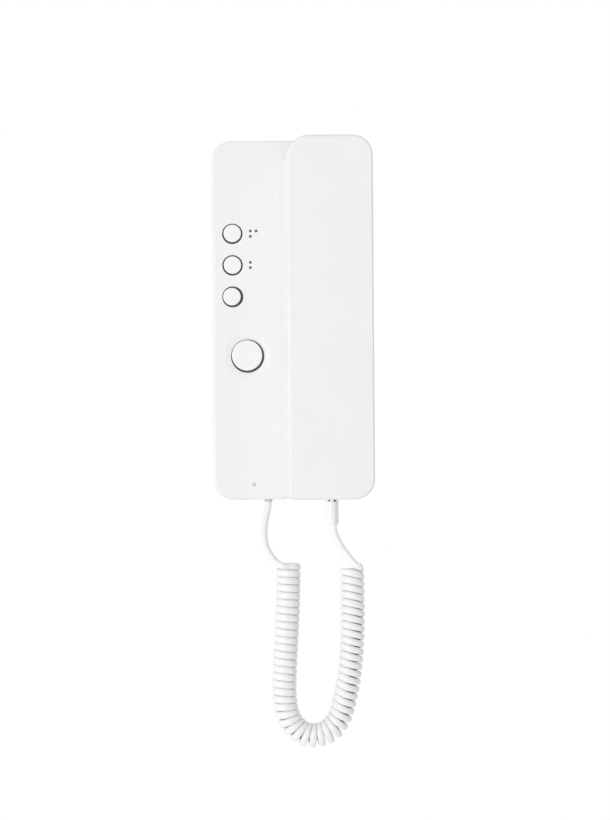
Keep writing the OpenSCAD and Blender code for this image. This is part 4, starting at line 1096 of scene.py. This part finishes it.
# %% Ear and mouth cups
cup_gap = 0.5
cup_lead = 0.4
cup_floor = rear_out + boss_h
cup_inside = cup_floor + shell_wall
ear_hole_r = 1.0
ear_ring_r = 7
ear_ring_count = 6
mouth_hole_r = 0.75
mouth_ring_r = 2
mouth_ring_count = 3
ear_holes = [ear, *circle(ear, ear_ring_r, ear_ring_count)]
mouth_holes = list(circle(mouth, mouth_ring_r, mouth_ring_count))
rear_cuts = []
floor_cuts = []
for centre, boss_r, holes, sound_r in (
        (ear, ear_boss_r, ear_holes, ear_hole_r), (mouth, mouth_boss_r, mouth_holes, mouth_hole_r)):
    cup_r = boss_r + cup_gap
    cup_wall_r = cup_r + shell_wall
    lead = [(cup_r + drop, rear_out + inset) for inset, drop in rounding(cup_lead, steps=4)]
    hole_loops = [circle(hole, sound_r, SMALL_STEPS) for hole in holes]
    rear_patches += [
        bore(centre, lead + [(cup_r, cup_floor)]),
        bore(centre, [(cup_wall_r, rear_inside), (cup_wall_r, cup_inside)]),
        flat_plate(circle(centre, cup_r), hole_loops, cup_floor),
        flat_plate(circle(centre, cup_wall_r), hole_loops, cup_inside)]
    rear_patches += [sheet([lift(loop, cup_floor), lift(loop, cup_inside)]) for loop in hole_loops]
    rear_cuts.append(circle(centre, cup_r + cup_lead))
    floor_cuts.append(circle(centre, cup_wall_r))
print("sound holes:", len(ear_holes), "for the ear and", len(mouth_holes), "for the mouth")

# %% Screw recesses
screws_low, screws_high = span("handset_screws")
screw_head_r = (screws_high - screws_low)[0] / 2
screw_head_t = 2
screw_hole_r = 1.6
screw_gap = 0.1
screw_post_wall = 1.5
screw_recess_r = screw_head_r + screw_gap
screw_post_r = screw_recess_r + screw_post_wall
screw_seat = screws_low[2] + screw_head_t
for up in (screws_low[1] + screw_head_r, screws_high[1] - screw_head_r):
    screw_middle = np.array([ear[0], up])
    rear_patches.append(bore(screw_middle, [
        (screw_recess_r, rear_out), (screw_recess_r, screw_seat), (screw_hole_r, screw_seat),
        (screw_hole_r, parting), (screw_post_r, parting), (screw_post_r, rear_inside)]))
    rear_cuts.append(circle(screw_middle, screw_recess_r))
    floor_cuts.append(circle(screw_middle, screw_post_r))
rear_patches += [
    flat_plate(tray_outline(rear_edge_r), rear_cuts, rear_out),
    flat_plate(tray_outline(shell_wall), floor_cuts, rear_inside)]
piece("handset_rear_moulding", rear_patches, "handset", handset_abs,
      ["handset_rear_shell"])

# %% [markdown]
# ## What keeps its solid
# The wall plate and the works behind the cover have the right shape already, and little of them shows.
# They could be remade as smooth surfaces too, but it would hardly show, so they only get a finish.

# %% Finishes on solids
solid_finishes = {
    plate_abs: ["wall_plate"],
    mask_green: ["main_board", "handset_board"],
    terminal_pa: ["terminal_block"],
    black_pa: ["tact_switches", "upper_plunger", "middle_plunger", "lower_plunger", "door_plunger",
               "ringer_speaker", "hook_bracket", "hook_switch", "receiver_capsule", "handset_jack"],
    soft_black: ["receiver_gasket", "microphone_boot"],
    foam_grey: ["speaker_gasket"],
    lever_pom: ["hook_lever", "cord_header"],
    lead_pvc: ["cord_lead", "speaker_lead", "handset_leads"],
    zinc_steel: ["board_screws", "terminal_screws", "hook_pin", "hook_spring", "handset_screws",
                 "microphone_capsule"],
    clear_pmma: ["light_pipe", "status_led"],
}
for finish, names in solid_finishes.items():
    for name in names:
        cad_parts[name].data.materials.clear()
        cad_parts[name].data.materials.append(finish)
print("solids with a finish:", sum(map(len, solid_finishes.values())))

# %% [markdown]
# ## Light and floor
# A white unit on a white ground needs light that is soft but not even. The sky gives most of it: it is
# brightest low on the left, beside the camera, and dims towards the other side, as a room with one window.
# A wide lamp on the bright side adds the soft shadows. More lamps would flatten the white again.
# The ground is white to the camera, in gloss and through clear plastic, and the floor still takes the
# object's shadow.

# %% World
def seen_directly(tree):
    """1 for a ray from the camera, off a glossy surface or through a clear one, and 0 for other light."""
    path = add_node(tree, "ShaderNodeLightPath")
    mirrored = add_node(tree, "ShaderNodeMath", {
        0: path.outputs["Is Glossy Ray"], 1: path.outputs["Is Transmission Ray"]}, operation="MAXIMUM")
    seen = add_node(tree, "ShaderNodeMath", {
        0: path.outputs["Is Camera Ray"], 1: mirrored.outputs["Value"]}, operation="MAXIMUM")
    return seen.outputs["Value"]


sky_towards = (-0.62, -0.62, -0.48)
sky_dim = 0.42
sky_bright = 1.02
white = linear("#FFFFFF")
world = bpy.data.worlds.new("studio")
bpy.context.scene.world = world
world.use_nodes = True
sky_tree = world.node_tree
sky_tree.nodes.clear()
sky_direction = add_node(sky_tree, "ShaderNodeTexCoord").outputs["Generated"]
towards = add_node(sky_tree, "ShaderNodeVectorMath", {0: sky_direction, 1: sky_towards},
                   operation="DOT_PRODUCT")
shade = add_node(sky_tree, "ShaderNodeMapRange", {
    "Value": towards.outputs["Value"], "From Min": -1, "To Min": sky_dim, "To Max": sky_bright})
sky_share = add_node(sky_tree, "ShaderNodeMapRange", {
    "Value": seen_directly(sky_tree), "To Min": shade.outputs["Result"], "To Max": 1.0})
sky = add_node(sky_tree, "ShaderNodeBackground", {"Color": white, "Strength": sky_share.outputs["Result"]})
add_node(sky_tree, "ShaderNodeOutputWorld", {"Surface": sky.outputs["Background"]})
print("sky, from its dim to its bright side:", sky_dim, "to", sky_bright)

# %% Lamp
lamp_place = Vector((-1.25, -1.72, -0.1))
lamp_aim = Vector((0.0, 0.0, -0.06))
lamp_size = 0.55
lamp_watts = 9.3
lamp = bpy.data.objects.new("key_left", bpy.data.lights.new("key_left", "AREA"))
lamp.data.size = lamp_size
lamp.data.energy = lamp_watts
lamp.location = lamp_place
lamp.rotation_euler = (lamp_aim - lamp_place).to_track_quat("-Z", "Y").to_euler()
bpy.context.scene.collection.objects.link(lamp)
print("lamp, m from the object:", round((lamp_aim - lamp_place).length, 2))

# %% Floor
floor_drop = 1.0
floor_reach = 0.6
floor_signs = [(-1, -1), (1, -1), (1, 1), (-1, 1)]
floor_corners = [(x * floor_reach, y * floor_reach, -floor_drop) for x, y in floor_signs]
floor_mesh = bpy.data.meshes.new("floor")
floor_mesh.from_pydata(floor_corners, [], [(0, 1, 2, 3)])
floor = bpy.data.objects.new("floor", floor_mesh)
bpy.context.scene.collection.objects.link(floor)
# Matt paint: an even white that takes a soft shadow
floor_paint = bpy.data.materials.new("matt_white_paint")
floor_paint.use_nodes = True
floor_tree = floor_paint.node_tree
floor_tree.nodes.clear()
paint = add_node(floor_tree, "ShaderNodeBsdfDiffuse", {"Color": linear("#EDEDEC")})
glow = add_node(floor_tree, "ShaderNodeEmission", {"Color": white, "Strength": seen_directly(floor_tree)})
ground = add_node(floor_tree, "ShaderNodeAddShader", {
    0: paint.outputs["BSDF"], 1: glow.outputs["Emission"]})
add_node(floor_tree, "ShaderNodeOutputMaterial", {"Surface": ground.outputs["Shader"]})
floor_mesh.materials.append(floor_paint)
print("floor, m wide:", 2 * floor_reach, "and below the base's middle:", floor_drop)

# %% [markdown]
# ## Finish
# The view transform is Standard, so a colour shows about as it is written.

# %% Finish
bpy.context.scene.view_settings.view_transform = "Standard"
